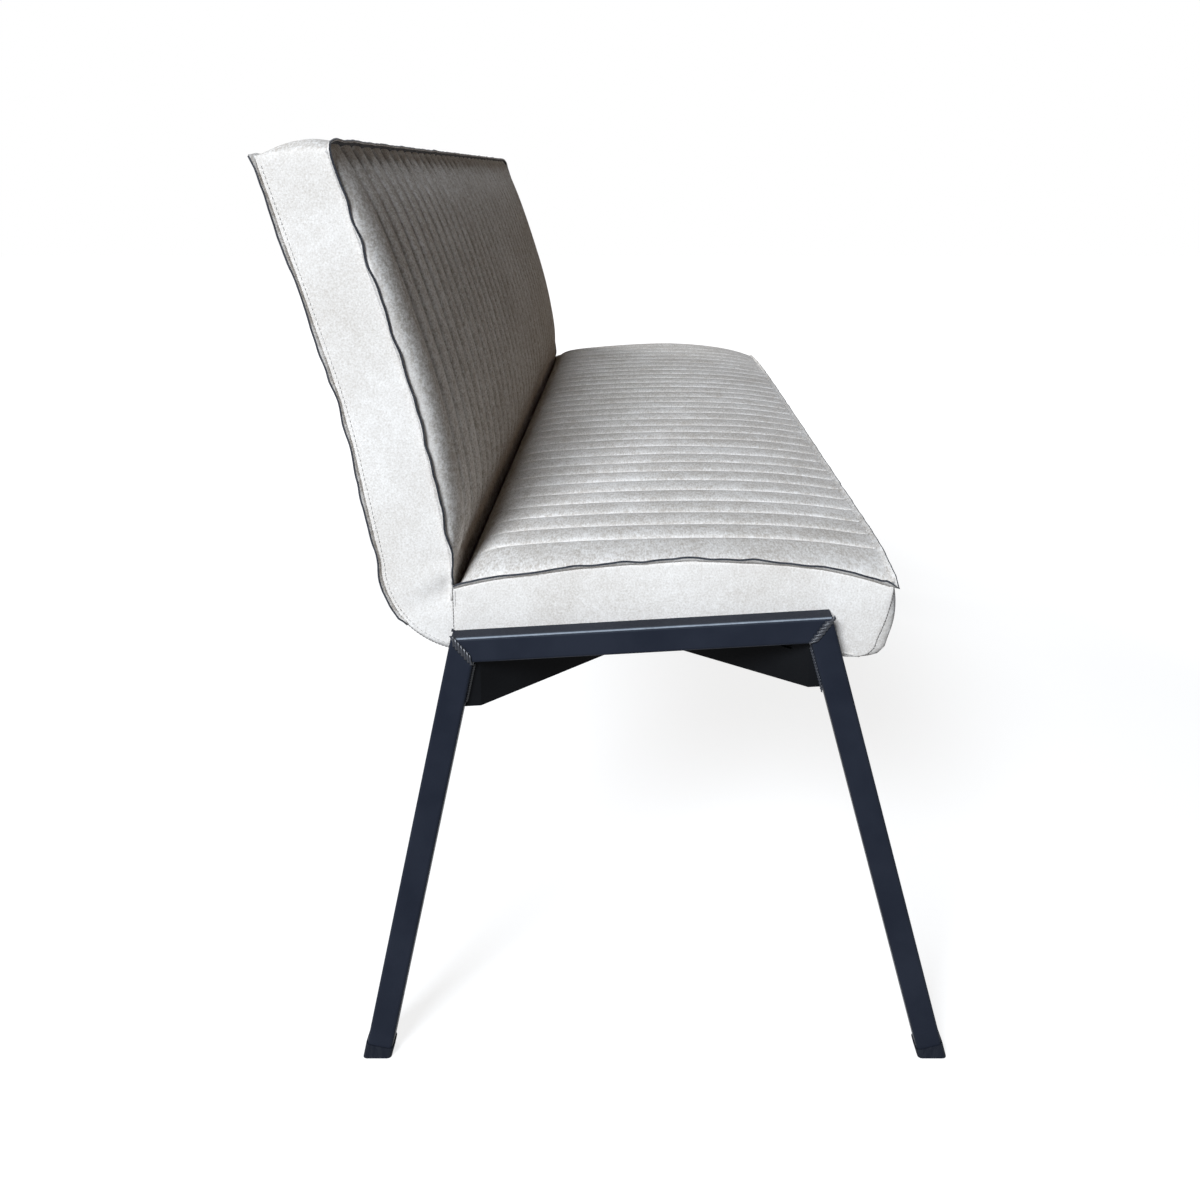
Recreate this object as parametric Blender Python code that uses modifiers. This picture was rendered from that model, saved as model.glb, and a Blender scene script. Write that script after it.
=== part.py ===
"""Dining bench: channelled seat and back on two welded end frames of square tube.

Metres, +Z up. The length runs along X, the front faces -Y, and the origin is on the floor
under the middle of the bench.
"""
import math

import bmesh
import bpy
from mathutils import Matrix, Vector

# Clearance between pieces that touch
GAP = 0.0003

# Mesh points this close are one, and lie on a cutting plane
WELD = 0.00001
ON_PLANE = 0.0000001

# Overall size
SEAT_LENGTH = 1.550
OVERALL_DEPTH = 0.6395      # from the front feet to the top of the back
OVERALL_HEIGHT = 0.880

# End frames: square tube, mitred at the two upper corners
TUBE = 0.025
TUBE_WALL = 0.002
TUBE_ROUND = 0.003
ROUND_STEPS = 3
ROUND_PROFILE = 0.5         # an arc of a circle
FOOT_SPAN = 0.576           # over the front and the rear foot, on the floor
RAIL_TILT = math.radians(3.4)
RAIL_RISE = 0.037           # outer corner of top rail and front leg over the timber's underside

# Plastic caps over the ends of the legs
CAP_WALL = 0.0009
CAP_FLOOR = 0.003
CAP_HEIGHT = 0.016

# Diagonal braces: a bent strap with a flange screwed up into the ribs
BRACE_THICK = 0.004
BRACE_FLANGE = 0.022
BRACE_DROP = 0.046          # lower edge under the underside of the top rail
BRACE_TAB = 0.003           # from the leg to the bend, along the top edge
BRACE_ANGLE = math.radians(45.0)
APEX_GAP = 0.024            # between the front and the rear brace, where they come together
FRONT_CLEAR = 0.0163        # front flange to the front batten
REAR_CLEAR = 0.0029         # rear flange to the heel of the ribs
SCREW_INSET = 0.018         # inner screw to the end of the brace
SCREW_RADIUS = 0.0025
SCREW_LENGTH = 0.022
SCREW_HEAD_RADIUS = 0.005
SCREW_HEAD_TOP = 0.004      # radius of its flat
SCREW_HEAD_HEIGHT = 0.003
SCREW_SIDES = 12

# Timber inside the upholstery
RIB_THICK = 0.018
SEAT_ARM = 0.030            # height of a rib under the deck
BACK_ARM = 0.025            # depth of a rib behind the back panel
BATTEN_DEPTH = 0.040
TOP_BATTEN_HEIGHT = 0.022
DECK_THICK = 0.009
PANEL_THICK = 0.004
BOARD_THICK = 0.003
HEEL_RADIUS = 0.080         # lower rear corner of a rib
HEEL_STEPS = 6

# Upholstery
PAD = 0.012                 # quilted cover with its wadding
SEAT_FOAM = 0.0051          # at the seat's edges, under its crown
BACK_FOAM = 0.020
OUTER_COVER = 0.002
DUST_COVER = 0.0008
SEAT_DEPTH = 0.410
SEAT_EDGE_Z = 0.477         # seam round the seat
SEAT_CROWN = 0.028          # middle of the seat over its front and rear edges, at the ends
EDGE_LIFT = 0.021           # front and rear edges away from the ends, over their corners
MIDDLE_CROWN = 0.012        # middle of the seat over those lifted edges
CORNER_RUN = 0.090          # length over which the edges come up from the corners
CROWN_POWER = 2.4
BACK_CROWN = 0.012
TOP_FALL = 0.012            # top of the back, from front to rear
END_ROUND = 0.034           # length over which the crown rises from the end seams
END_SHARES = (0.0, 0.125, 0.4, 1.0)
CHANNELS = 30
CHANNEL_BORDER = 0.062      # plain strip between the end seam and the first stitched line
CHANNEL_DEPTH = 0.005
CHANNEL_SHOULDER = 0.28     # share of a channel over which its side rises
APRON_DRAFT = 0.006         # front face, drawn in towards its lower edge
APRON_BULGE = 0.008         # front face away from the ends
APRON_SPANS = 3
APRON_RADIUS = 0.018
APRON_STEPS = 3
APRON_DROP = 0.011          # apron under the timber
LIP_EDGE = 0.006            # hem of the apron under the front batten
SKIRT_RISE = 0.002          # lower edge of the end boxing over the ribs' underside
TOP_SPANS = 6
BACK_SPANS = 9

# Line of the back: upright at the heel, then two leans with a bend between them
LOWER_LEAN = math.radians(10.5)
UPPER_LEAN = math.radians(17.0)
KNEE_RISE = 0.168           # bend over the seam round the seat
KNEE_BLEND = 0.040

# Colours with roughness and metallic value
STEEL = ((0.030, 0.034, 0.045), 0.50, 0.75)
PLASTIC = ((0.015, 0.015, 0.016), 0.55, 0.0)
ZINC = ((0.55, 0.55, 0.56), 0.35, 1.0)
PLYWOOD = ((0.62, 0.47, 0.30), 0.70, 0.0)
PINE = ((0.70, 0.53, 0.33), 0.65, 0.0)
FOAM = ((0.80, 0.77, 0.62), 0.95, 0.0)
FABRIC = ((0.48, 0.45, 0.41), 0.90, 0.0)
FELT = ((0.020, 0.020, 0.022), 0.95, 0.0)

# Values worked out from the sizes above
SEAT_END = SEAT_LENGTH / 2
POCKET_END = SEAT_END - PAD
INNER_END = POCKET_END - GAP
FRAME_X = SEAT_END + GAP + TUBE / 2
DECK_TOP_Z = SEAT_EDGE_Z - PAD - SEAT_FOAM - 2 * GAP
DECK_BOTTOM_Z = DECK_TOP_Z - DECK_THICK
ARM_TOP_Z = DECK_BOTTOM_Z - GAP
BASE_Z = ARM_TOP_Z - SEAT_ARM
BACK_FOOT_Z = SEAT_EDGE_Z + EDGE_LIFT + GAP
HEEL_Z = BASE_Z + HEEL_RADIUS
KNEE_Z = SEAT_EDGE_Z + KNEE_RISE
APRON_BOTTOM_Z = BASE_Z - APRON_DROP
FRONT_CORNER_Z = BASE_Z + RAIL_RISE
COVER_BOTTOM_Z = BASE_Z - GAP
DUST_BOTTOM_Z = COVER_BOTTOM_Z - DUST_COVER
BRACE_TOP_Z = DUST_BOTTOM_Z - GAP
FLANGE_MIDDLE_Z = BRACE_TOP_Z - BRACE_THICK / 2
FLANGE_BOTTOM_Z = BRACE_TOP_Z - BRACE_THICK
SKIRT_Z = BASE_Z + SKIRT_RISE
REAR_TOP_Z = OVERALL_HEIGHT - TOP_FALL
POCKET_TOP_Z = REAR_TOP_Z - PAD
INNER_TOP_Z = POCKET_TOP_Z - GAP

# Layers of the back, as distances behind its front line
FOAM_FRONT = PAD + GAP
PANEL_FRONT = FOAM_FRONT + BACK_FOAM + GAP
RIB_FRONT = PANEL_FRONT + PANEL_THICK + GAP
RIB_REAR = RIB_FRONT + BACK_ARM
BOARD_FRONT = RIB_REAR + GAP
OUTER_FRONT = BOARD_FRONT + BOARD_THICK + GAP
BACK_THICK = OUTER_FRONT + OUTER_COVER


def back_lean(z):
    """Distance by which the back has leant to the rear at height z."""
    lower = math.tan(LOWER_LEAN)
    change = math.tan(UPPER_LEAN) - lower
    into_bend = min(max(z - KNEE_Z + KNEE_BLEND, 0.0), 2 * KNEE_BLEND)
    above_bend = max(z - KNEE_Z - KNEE_BLEND, 0.0)
    bent = into_bend ** 2 / (4 * KNEE_BLEND) + above_bend
    return max(z - HEEL_Z, 0.0) * lower + change * bent


BACK_Y = OVERALL_DEPTH / 2 - BACK_THICK - back_lean(REAR_TOP_Z)
SEAT_REAR_Y = BACK_Y - GAP
SEAT_FRONT_Y = SEAT_REAR_Y - SEAT_DEPTH
POCKET_FRONT_Y = SEAT_FRONT_Y + APRON_DRAFT + PAD
TIMBER_FRONT_Y = POCKET_FRONT_Y + GAP
LIP_Y = TIMBER_FRONT_Y + BATTEN_DEPTH
HEEL_Y = BACK_Y + RIB_REAR - HEEL_RADIUS

# Flange of a brace: from its bend along the strap, and aside from the strap's middle
FLANGE_START = (TUBE / 2 + 2 * GAP) / math.cos(BRACE_ANGLE)
FLANGE_EDGE = BRACE_THICK / 2 + BRACE_FLANGE
FLANGE_REACH = FLANGE_EDGE * math.cos(BRACE_ANGLE) - FLANGE_START * math.sin(BRACE_ANGLE)

PARTS = "dining_bench"
CUTTERS = "dining_bench_cutters"


def start_scene():
    for old in list(bpy.data.objects):
        bpy.data.objects.remove(old, do_unlink=True)
    for name in (PARTS, CUTTERS):
        collection = bpy.data.collections.new(name)
        bpy.context.scene.collection.children.link(collection)
    stand = bpy.data.objects.new("bench_origin", None)
    bpy.data.collections[PARTS].objects.link(stand)


def add_part(name, mesh, finish, matrix=Matrix()):
    """Put a mesh into the bench as a named part with a material of its own."""
    colour, roughness, metallic = finish
    material = bpy.data.materials.new(name)
    material.use_nodes = True
    shader = material.node_tree.nodes["Principled BSDF"]
    shader.inputs["Base Color"].default_value = (*colour, 1.0)
    shader.inputs["Roughness"].default_value = roughness
    shader.inputs["Metallic"].default_value = metallic
    mesh.materials.clear()
    mesh.materials.append(material)
    part = bpy.data.objects.new(name, mesh)
    bpy.data.collections[PARTS].objects.link(part)
    part.matrix_world = matrix
    part.parent = bpy.data.objects["bench_origin"]
    return part


def add_cutter(name, mesh, matrix=Matrix()):
    cutter = bpy.data.objects.new(name, mesh)
    bpy.data.collections[CUTTERS].objects.link(cutter)
    cutter.matrix_world = matrix
    cutter.hide_render = True
    cutter.display_type = "WIRE"
    return cutter


def combine(part, other, operation):
    step = part.modifiers.new(other.name, "BOOLEAN")
    step.operation = operation
    step.object = other


def finished_mesh(name, bm):
    bmesh.ops.recalc_face_normals(bm, faces=bm.faces[:])
    mesh = bpy.data.meshes.new(name)
    bm.to_mesh(mesh)
    bm.free()
    return mesh


def outline_mesh(name, outline, thickness):
    """Flat outline extruded to both sides of its plane."""
    curve = bpy.data.curves.new(name, "CURVE")
    curve.dimensions = "2D"
    curve.fill_mode = "BOTH"
    curve.extrude = thickness / 2
    spline = curve.splines.new("POLY")
    spline.points.add(len(outline) - 1)
    for point, (across, up) in zip(spline.points, outline):
        point.co = (across, up, 0.0, 1.0)
    spline.use_cyclic_u = True
    drawn = bpy.data.objects.new(name, curve)
    bpy.context.scene.collection.objects.link(drawn)
    solid = drawn.evaluated_get(bpy.context.evaluated_depsgraph_get())
    mesh = bpy.data.meshes.new_from_object(solid)
    bpy.data.objects.remove(drawn, do_unlink=True)
    bm = bmesh.new()
    bm.from_mesh(mesh)
    bpy.data.meshes.remove(mesh)
    bmesh.ops.remove_doubles(bm, verts=bm.verts[:], dist=WELD)
    return finished_mesh(name, bm)


def side_view(x=0.0):
    """Turn an outline drawn in Y and Z to face along X."""
    turn = Matrix(((0, 0, 1), (1, 0, 0), (0, 1, 0)))
    return Matrix.Translation((x, 0.0, 0.0)) @ turn.to_4x4()


def add_profile(name, outline, length, finish, x=0.0):
    """Part with one side profile along its whole length."""
    return add_part(name, outline_mesh(name, outline, length), finish, side_view(x))


def box_outline(y_low, y_high, z_low, z_high):
    return [(y_low, z_low), (y_high, z_low), (y_high, z_high), (y_low, z_high)]


# Steel end frames

def inward(direction):
    """Square to a direction in the frame's plane, turned towards the middle of a frame."""
    return Vector((0.0, direction.z, -direction.y))


def meeting_point(point_a, along_a, point_b, along_b):
    across = inward(along_b)
    return point_a + along_a * ((point_b - point_a).dot(across) / along_a.dot(across))


def rake(run, thickness):
    """Lean of a leg, from its foot to a point on its other side, level with the braces' top."""
    straight = math.atan2(BRACE_TOP_Z, run)
    return math.acos(thickness / math.hypot(run, BRACE_TOP_Z)) - straight


CAP_STEP = CAP_WALL + GAP
FRONT_FOOT_Y = -OVERALL_DEPTH / 2
REAR_FOOT_Y = FRONT_FOOT_Y + FOOT_SPAN
FRONT_BEND_Y = LIP_Y + FRONT_CLEAR + FLANGE_REACH
REAR_BEND_Y = HEEL_Y - REAR_CLEAR - FLANGE_REACH
FRONT_RAKE = rake(FRONT_BEND_Y - BRACE_TAB - FRONT_FOOT_Y, TUBE + CAP_STEP)
REAR_RAKE = rake(REAR_FOOT_Y - REAR_BEND_Y - BRACE_TAB, TUBE + CAP_STEP)
FRONT_UP = Vector((0.0, math.sin(FRONT_RAKE), math.cos(FRONT_RAKE)))
REAR_UP = Vector((0.0, -math.sin(REAR_RAKE), math.cos(REAR_RAKE)))
RAIL_BACK = Vector((0.0, math.cos(RAIL_TILT), -math.sin(RAIL_TILT)))
FRONT_TOE = Vector((0.0, FRONT_FOOT_Y + CAP_STEP / FRONT_UP.z, 0.0))
REAR_TOE = Vector((0.0, REAR_FOOT_Y - CAP_STEP / REAR_UP.z, 0.0))
FRONT_CORNER = FRONT_TOE + FRONT_UP * (FRONT_CORNER_Z / FRONT_UP.z)
REAR_CORNER = meeting_point(FRONT_CORNER, RAIL_BACK, REAR_TOE, REAR_UP)
FRONT_IN = inward(FRONT_UP)
REAR_IN = -inward(REAR_UP)
RAIL_IN = inward(RAIL_BACK)
UP = Vector((0.0, 0.0, 1.0))


def cut_off(bm, point, normal):
    """Take away what lies beyond a plane, and close the cut."""
    bmesh.ops.bisect_plane(
        bm, geom=bm.verts[:] + bm.edges[:] + bm.faces[:], dist=ON_PLANE,
        plane_co=point, plane_no=normal, clear_outer=True)
    bmesh.ops.edgeloop_fill(bm, edges=[edge for edge in bm.edges if edge.is_boundary])


def bar_mesh(name, size, rounding, centre, axis, cuts=()):
    """Bar of rounded square section, longer than any piece until it is cut to length."""
    bm = bmesh.new()
    reach = OVERALL_DEPTH + OVERALL_HEIGHT
    bmesh.ops.create_cube(bm, size=1.0, matrix=Matrix.Diagonal((size, size, 2 * reach, 1.0)))
    long_edges = [
        edge for edge in bm.edges if abs(edge.verts[0].co.z - edge.verts[1].co.z) > reach]
    bmesh.ops.bevel(
        bm, geom=long_edges, offset=rounding, offset_type="OFFSET",
        segments=ROUND_STEPS, profile=ROUND_PROFILE, affect="EDGES")
    side = Vector((1.0, 0.0, 0.0))
    turn = Matrix((side, axis.cross(side), axis)).transposed().to_4x4()
    bmesh.ops.transform(bm, matrix=Matrix.Translation(centre) @ turn, verts=bm.verts[:])
    for point, normal in cuts:
        cut_off(bm, point, normal)
    return finished_mesh(name, bm)


def hollow_tube(name, outer_point, inside, axis, cuts, x):
    """Length of square tube between two cuts, with its outer side on a given line."""
    centre = outer_point + inside * (TUBE / 2)
    place = Matrix.Translation((x, 0.0, 0.0))
    tube = add_part(name, bar_mesh(name, TUBE, TUBE_ROUND, centre, axis, cuts), STEEL, place)
    bore_size = TUBE - 2 * TUBE_WALL
    bore_round = max(TUBE_ROUND - TUBE_WALL, TUBE_WALL / 4)
    bore = bar_mesh(name + "_bore", bore_size, bore_round, centre, axis)
    combine(tube, add_cutter(name + "_bore", bore, place), "DIFFERENCE")


def foot_cap(name, toe, inside, axis, x):
    """Cup over the foot of a leg, flat on the floor."""
    centre = toe + inside * (TUBE / 2)
    place = Matrix.Translation((x, 0.0, 0.0))
    cuts = ((Vector(), -UP), (centre + axis * CAP_HEIGHT, axis))
    cup = bar_mesh(name, TUBE + 2 * CAP_STEP, TUBE_ROUND + CAP_STEP, centre, axis, cuts)
    socket_cut = (UP * (CAP_FLOOR - GAP), -UP)
    socket = bar_mesh(name + "_socket", TUBE + 2 * GAP, TUBE_ROUND, centre, axis, (socket_cut,))
    cap = add_part(name, cup, PLASTIC, place)
    combine(cap, add_cutter(name + "_socket", socket, place), "DIFFERENCE")


def mitre(corner, leg_up):
    """Cut planes of a leg and of the rail at the corner where they meet."""
    rail_away = RAIL_BACK if corner is FRONT_CORNER else -RAIL_BACK
    leg_side = (-leg_up - rail_away).normalized()
    leg_cut = (corner + leg_side * (GAP / 2), -leg_side)
    rail_cut = (corner - leg_side * (GAP / 2), leg_side)
    return leg_cut, rail_cut


def end_frame(end, x):
    front_leg_cut, front_rail_cut = mitre(FRONT_CORNER, FRONT_UP)
    rear_leg_cut, rear_rail_cut = mitre(REAR_CORNER, REAR_UP)
    foot_cut = (UP * CAP_FLOOR, -UP)
    hollow_tube(end + "_top_rail", FRONT_CORNER, RAIL_IN, RAIL_BACK, (front_rail_cut, rear_rail_cut), x)
    hollow_tube(end + "_front_leg", FRONT_TOE, FRONT_IN, FRONT_UP, (foot_cut, front_leg_cut), x)
    hollow_tube(end + "_rear_leg", REAR_TOE, REAR_IN, REAR_UP, (foot_cut, rear_leg_cut), x)
    foot_cap(end + "_front_foot_cap", FRONT_TOE, FRONT_IN, FRONT_UP, x)
    foot_cap(end + "_rear_foot_cap", REAR_TOE, REAR_IN, REAR_UP, x)


# Braces and their screws

BRACE_RUN = (REAR_BEND_Y - FRONT_BEND_Y - APEX_GAP) / 2 / math.sin(BRACE_ANGLE)
FLANGE_MIDDLE = (BRACE_THICK + BRACE_FLANGE) / 2
END_RIB_X = INNER_END - RIB_THICK / 2
INNER_SCREW_RUN = BRACE_RUN - SCREW_INSET
OUTER_SCREW_RUN = (
    (FRAME_X - END_RIB_X - FLANGE_MIDDLE * math.sin(BRACE_ANGLE)) / math.cos(BRACE_ANGLE))
INNER_RIB_X = (
    FRAME_X - INNER_SCREW_RUN * math.cos(BRACE_ANGLE) - FLANGE_MIDDLE * math.sin(BRACE_ANGLE))


class BraceLine:
    """Plan of one brace: from its bend, inboard and towards the middle of the frame."""

    def __init__(self, x, toe, inside):
        self.inboard = -math.copysign(1.0, x)
        self.to_middle = math.copysign(1.0, inside.y)
        self.bend = Vector((x, FRONT_BEND_Y if inside.y > 0 else REAR_BEND_Y))
        self.along = Vector((
            self.inboard * math.cos(BRACE_ANGLE), self.to_middle * math.sin(BRACE_ANGLE)))
        self.hidden_side = Vector((
            self.inboard * math.sin(BRACE_ANGLE), -self.to_middle * math.cos(BRACE_ANGLE)))
        self.leg_face = (toe + inside * (TUBE + GAP), -inside)

    def place(self, run, aside=0.0):
        return self.bend + self.along * run + self.hidden_side * aside

    def strap_outline(self):
        """Tab square to the frame, then the diagonal, with a mitred bend between them."""
        half = BRACE_THICK / 2
        tab_side = Vector((self.inboard, 0.0))
        corner = (tab_side + self.hidden_side) / (1.0 + tab_side.dot(self.hidden_side))
        tab_end = self.bend - Vector((0.0, self.to_middle * (TUBE + BRACE_DROP)))
        tip = self.place(BRACE_RUN)
        return [
            tab_end - tab_side * half, self.bend - corner * half, tip - self.hidden_side * half,
            tip + self.hidden_side * half, self.bend + corner * half, tab_end + tab_side * half]

    def flange_outline(self):
        end = BRACE_RUN - BRACE_THICK / 2
        return [
            self.place(FLANGE_START), self.place(end), self.place(end, FLANGE_EDGE),
            self.place(FLANGE_START, FLANGE_EDGE)]


def under_seat():
    """Cutter for all that a strap would have over the middle of its flange, under the seat."""
    room = box_outline(FRONT_FOOT_Y, REAR_FOOT_Y, FLANGE_MIDDLE_Z, OVERALL_HEIGHT)
    return add_cutter("seat_room", outline_mesh("seat_room", room, 2 * (SEAT_END + GAP)), side_view())


def brace(name, line, seat_room, rail_room, screw_holes):
    """Strap welded to a leg and under the rail, with a flange on top where it is under the seat.

    Its lower edge runs parallel to the rail.
    """
    drawn = outline_mesh(name + "_strap", line.strap_outline(), 2 * FRONT_CORNER_Z)
    bm = bmesh.new()
    bm.from_mesh(drawn)
    lower_edge = (FRONT_CORNER + RAIL_IN * (TUBE + BRACE_DROP), RAIL_IN)
    upper_edge = (FRONT_CORNER + RAIL_IN * (TUBE / 2), -RAIL_IN)
    for point, normal in (lower_edge, upper_edge, line.leg_face):
        cut_off(bm, point, normal)
    strap = add_part(name, finished_mesh(name, bm), STEEL)
    combine(strap, seat_room, "DIFFERENCE")
    flange_mesh = outline_mesh(name + "_flange", line.flange_outline(), BRACE_THICK)
    flange_place = Matrix.Translation((0.0, 0.0, FLANGE_MIDDLE_Z))
    combine(strap, add_cutter(name + "_flange", flange_mesh, flange_place), "UNION")
    for cutter in (rail_room, *screw_holes):
        combine(strap, cutter, "DIFFERENCE")


def brace_screw(name, place):
    """Pan-head screw pointing up, with a cutter for the hole that it sits in."""
    seat_z = FLANGE_BOTTOM_Z - GAP
    profile = [
        (0.0, SCREW_LENGTH), (SCREW_RADIUS, SCREW_LENGTH), (SCREW_RADIUS, 0.0),
        (SCREW_HEAD_RADIUS, 0.0), (SCREW_HEAD_TOP, -SCREW_HEAD_HEIGHT),
        (0.0, -SCREW_HEAD_HEIGHT)]
    mesh = bpy.data.meshes.new(name)
    edges = [(i, i + 1) for i in range(len(profile) - 1)]
    mesh.from_pydata([(radius, 0.0, z) for radius, z in profile], edges, [])
    screw = add_part(name, mesh, ZINC, Matrix.Translation((*place, seat_z)))
    turn = screw.modifiers.new("turn", "SCREW")
    turn.steps = SCREW_SIDES
    turn.render_steps = SCREW_SIDES
    turn.use_merge_vertices = True
    turn.merge_threshold = 0.0001
    bm = bmesh.new()
    depth = SCREW_LENGTH + 2 * GAP
    bmesh.ops.create_cone(
        bm, cap_ends=True, segments=SCREW_SIDES, depth=depth,
        radius1=SCREW_RADIUS + GAP, radius2=SCREW_RADIUS + GAP)
    hole_z = seat_z + depth / 2
    return add_cutter(
        name + "_hole", finished_mesh(name + "_hole", bm), Matrix.Translation((*place, hole_z)))


def braces(end, x, seat_room):
    """Both braces of an end frame, and their screw holes under the end and the inner rib."""
    holes = {"outer": [], "inner": []}
    room_name = end + "_rail_room"
    rail_centre = FRONT_CORNER + RAIL_IN * (TUBE / 2)
    room = bar_mesh(room_name, TUBE + 2 * GAP, TUBE_ROUND, rail_centre, RAIL_BACK)
    rail_room = add_cutter(room_name, room, Matrix.Translation((x, 0.0, 0.0)))
    for leg, toe, inside in (("front", FRONT_TOE, FRONT_IN), ("rear", REAR_TOE, REAR_IN)):
        line = BraceLine(x, toe, inside)
        name = end + "_" + leg + "_brace"
        outer = brace_screw(name + "_outer_screw", line.place(OUTER_SCREW_RUN, FLANGE_MIDDLE))
        inner = brace_screw(name + "_inner_screw", line.place(INNER_SCREW_RUN, FLANGE_MIDDLE))
        brace(name, line, seat_room, rail_room, (outer, inner))
        holes["outer"].append(outer)
        holes["inner"].append(inner)
    return holes


# Timber

def back_point(z, behind):
    """Point of a layer of the back, at a distance behind its front line."""
    return (BACK_Y + back_lean(z) + behind, z)


def back_line(z_low, z_high, behind):
    """Points of a layer from low to high, closer together in the bend."""
    bend = [KNEE_Z + KNEE_BLEND * step / 2 for step in (-2, -1, 0, 1, 2)]
    inner = [z for z in [HEEL_Z] + bend if z_low < z < z_high]
    return [back_point(z, behind) for z in [z_low] + inner + [z_high]]


def heel_arc(behind):
    """Lower rear corner of a layer, from its lowest point up to its upright side."""
    radius = HEEL_RADIUS + behind - RIB_REAR
    turns = [math.pi / 2 * (step / HEEL_STEPS - 1.0) for step in range(HEEL_STEPS)]
    return [(HEEL_Y + radius * math.cos(turn), HEEL_Z + radius * math.sin(turn)) for turn in turns]


def rib(name, x, holes):
    """L of seat arm and back arm, cut from plywood."""
    top_z = INNER_TOP_Z - TOP_BATTEN_HEIGHT - GAP
    front_y = LIP_Y + GAP
    outline = [(front_y, ARM_TOP_Z), (front_y, BASE_Z)]
    outline += heel_arc(RIB_REAR)
    outline += back_line(HEEL_Z, top_z, RIB_REAR)
    outline += reversed(back_line(ARM_TOP_Z, top_z, RIB_FRONT))
    part = add_profile(name, outline, RIB_THICK, PLYWOOD, x)
    for hole in holes:
        combine(part, hole, "DIFFERENCE")


def sheet_round_heel(name, front, thickness, top_z, length, finish):
    """Sheet down the rear of the back and round its heel."""
    outline = heel_arc(front) + back_line(HEEL_Z, top_z, front)
    outline += reversed(heel_arc(front + thickness) + back_line(HEEL_Z, top_z, front + thickness))
    add_profile(name, outline, length, finish)


def layer(name, front, thickness, z_low, z_high, finish):
    """Piece of even thickness along the line of the back."""
    outline = back_line(z_low, z_high, front)
    outline += reversed(back_line(z_low, z_high, front + thickness))
    add_profile(name, outline, 2 * INNER_END, finish)


def timber(left_holes, right_holes):
    rib("left_end_rib", -END_RIB_X, left_holes["outer"])
    rib("left_inner_rib", -INNER_RIB_X, left_holes["inner"])
    rib("centre_rib", 0.0, ())
    rib("right_inner_rib", INNER_RIB_X, right_holes["inner"])
    rib("right_end_rib", END_RIB_X, right_holes["outer"])
    batten = box_outline(TIMBER_FRONT_Y, LIP_Y, BASE_Z, ARM_TOP_Z)
    add_profile("front_batten", batten, 2 * INNER_END, PINE)
    deck_rear_y = BACK_Y + RIB_FRONT - GAP
    deck = box_outline(TIMBER_FRONT_Y, deck_rear_y, DECK_BOTTOM_Z, DECK_TOP_Z)
    add_profile("seat_deck", deck, 2 * INNER_END, PLYWOOD)
    stand_z = DECK_TOP_Z + GAP
    batten_z = INNER_TOP_Z - TOP_BATTEN_HEIGHT
    layer("back_panel", PANEL_FRONT, PANEL_THICK, stand_z, INNER_TOP_Z, PLYWOOD)
    layer("back_foam", FOAM_FRONT, BACK_FOAM, stand_z, INNER_TOP_Z, FOAM)
    layer("back_top_batten", RIB_FRONT, BACK_ARM, batten_z, INNER_TOP_Z, PINE)
    sheet_round_heel("rear_board", BOARD_FRONT, BOARD_THICK, INNER_TOP_Z, 2 * INNER_END, PLYWOOD)


# Upholstery

def bow(share):
    """Crown between two edges: 0 at both, 1 in the middle."""
    return 1.0 - abs(2.0 * share - 1.0) ** CROWN_POWER


def end_rise(x, run=END_ROUND):
    """Quarter round by which a crown comes up from the end seams."""
    inside = min((SEAT_END - abs(x)) / run, 1.0)
    return math.sqrt(1.0 - (1.0 - inside) ** 2)


def stations():
    """Places along the length, each with how far it lies down in a stitched line."""
    ends = [SEAT_END - END_ROUND * share for share in END_SHARES]
    first = CHANNEL_BORDER - SEAT_END
    pitch = -2.0 * first / CHANNELS
    places = [(-x, 0.0) for x in ends]
    for channel in range(CHANNELS):
        line_x = first + channel * pitch
        places.append((line_x, 1.0))
        places.append((line_x + CHANNEL_SHOULDER * pitch, 0.0))
        places.append((line_x + (1.0 - CHANNEL_SHOULDER) * pitch, 0.0))
    places.append((-first, 1.0))
    return places + [(x, 0.0) for x in reversed(ends)]


def spread(count):
    """Shares from 0 to 1, closer together towards both ends."""
    return [(1.0 - math.cos(math.pi * step / count)) / 2.0 for step in range(count + 1)]


def seat_top(share, x):
    """Point on top of the seat, from its rear edge to its front edge."""
    lifted = end_rise(x, CORNER_RUN)
    crown = SEAT_CROWN + (MIDDLE_CROWN - SEAT_CROWN) * lifted
    return (SEAT_REAR_Y - share * SEAT_DEPTH, SEAT_EDGE_Z + EDGE_LIFT * lifted + crown * bow(share))


def apron(x, z_top):
    """Front of the seat, from under its top edge round to its lowest line."""
    centre_z = APRON_BOTTOM_Z + APRON_RADIUS
    line = []
    for step in range(1, APRON_SPANS):
        share = step / APRON_SPANS
        bulge = APRON_BULGE * end_rise(x) * bow(share)
        line.append((SEAT_FRONT_Y + share * APRON_DRAFT - bulge, z_top + share * (centre_z - z_top)))
    centre_y = SEAT_FRONT_Y + APRON_DRAFT + APRON_RADIUS
    for step in range(APRON_STEPS + 1):
        turn = math.pi * (1.0 + step / APRON_STEPS / 2)
        line.append((centre_y + APRON_RADIUS * math.cos(turn), centre_z + APRON_RADIUS * math.sin(turn)))
    return line


def seat_section(x, stitched):
    """Ring round the seat: over its top, down the front and back along the underside."""
    ring = []
    for share in spread(TOP_SPANS):
        y, z = seat_top(share, x)
        ring.append((y, z - stitched * CHANNEL_DEPTH * bow(share)))
    ring += apron(x, ring[-1][1])
    ring.append((LIP_Y, COVER_BOTTOM_Z - LIP_EDGE))
    ring.append((LIP_Y, SKIRT_Z))
    ring.append((SEAT_REAR_Y, SKIRT_Z))
    return ring


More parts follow.
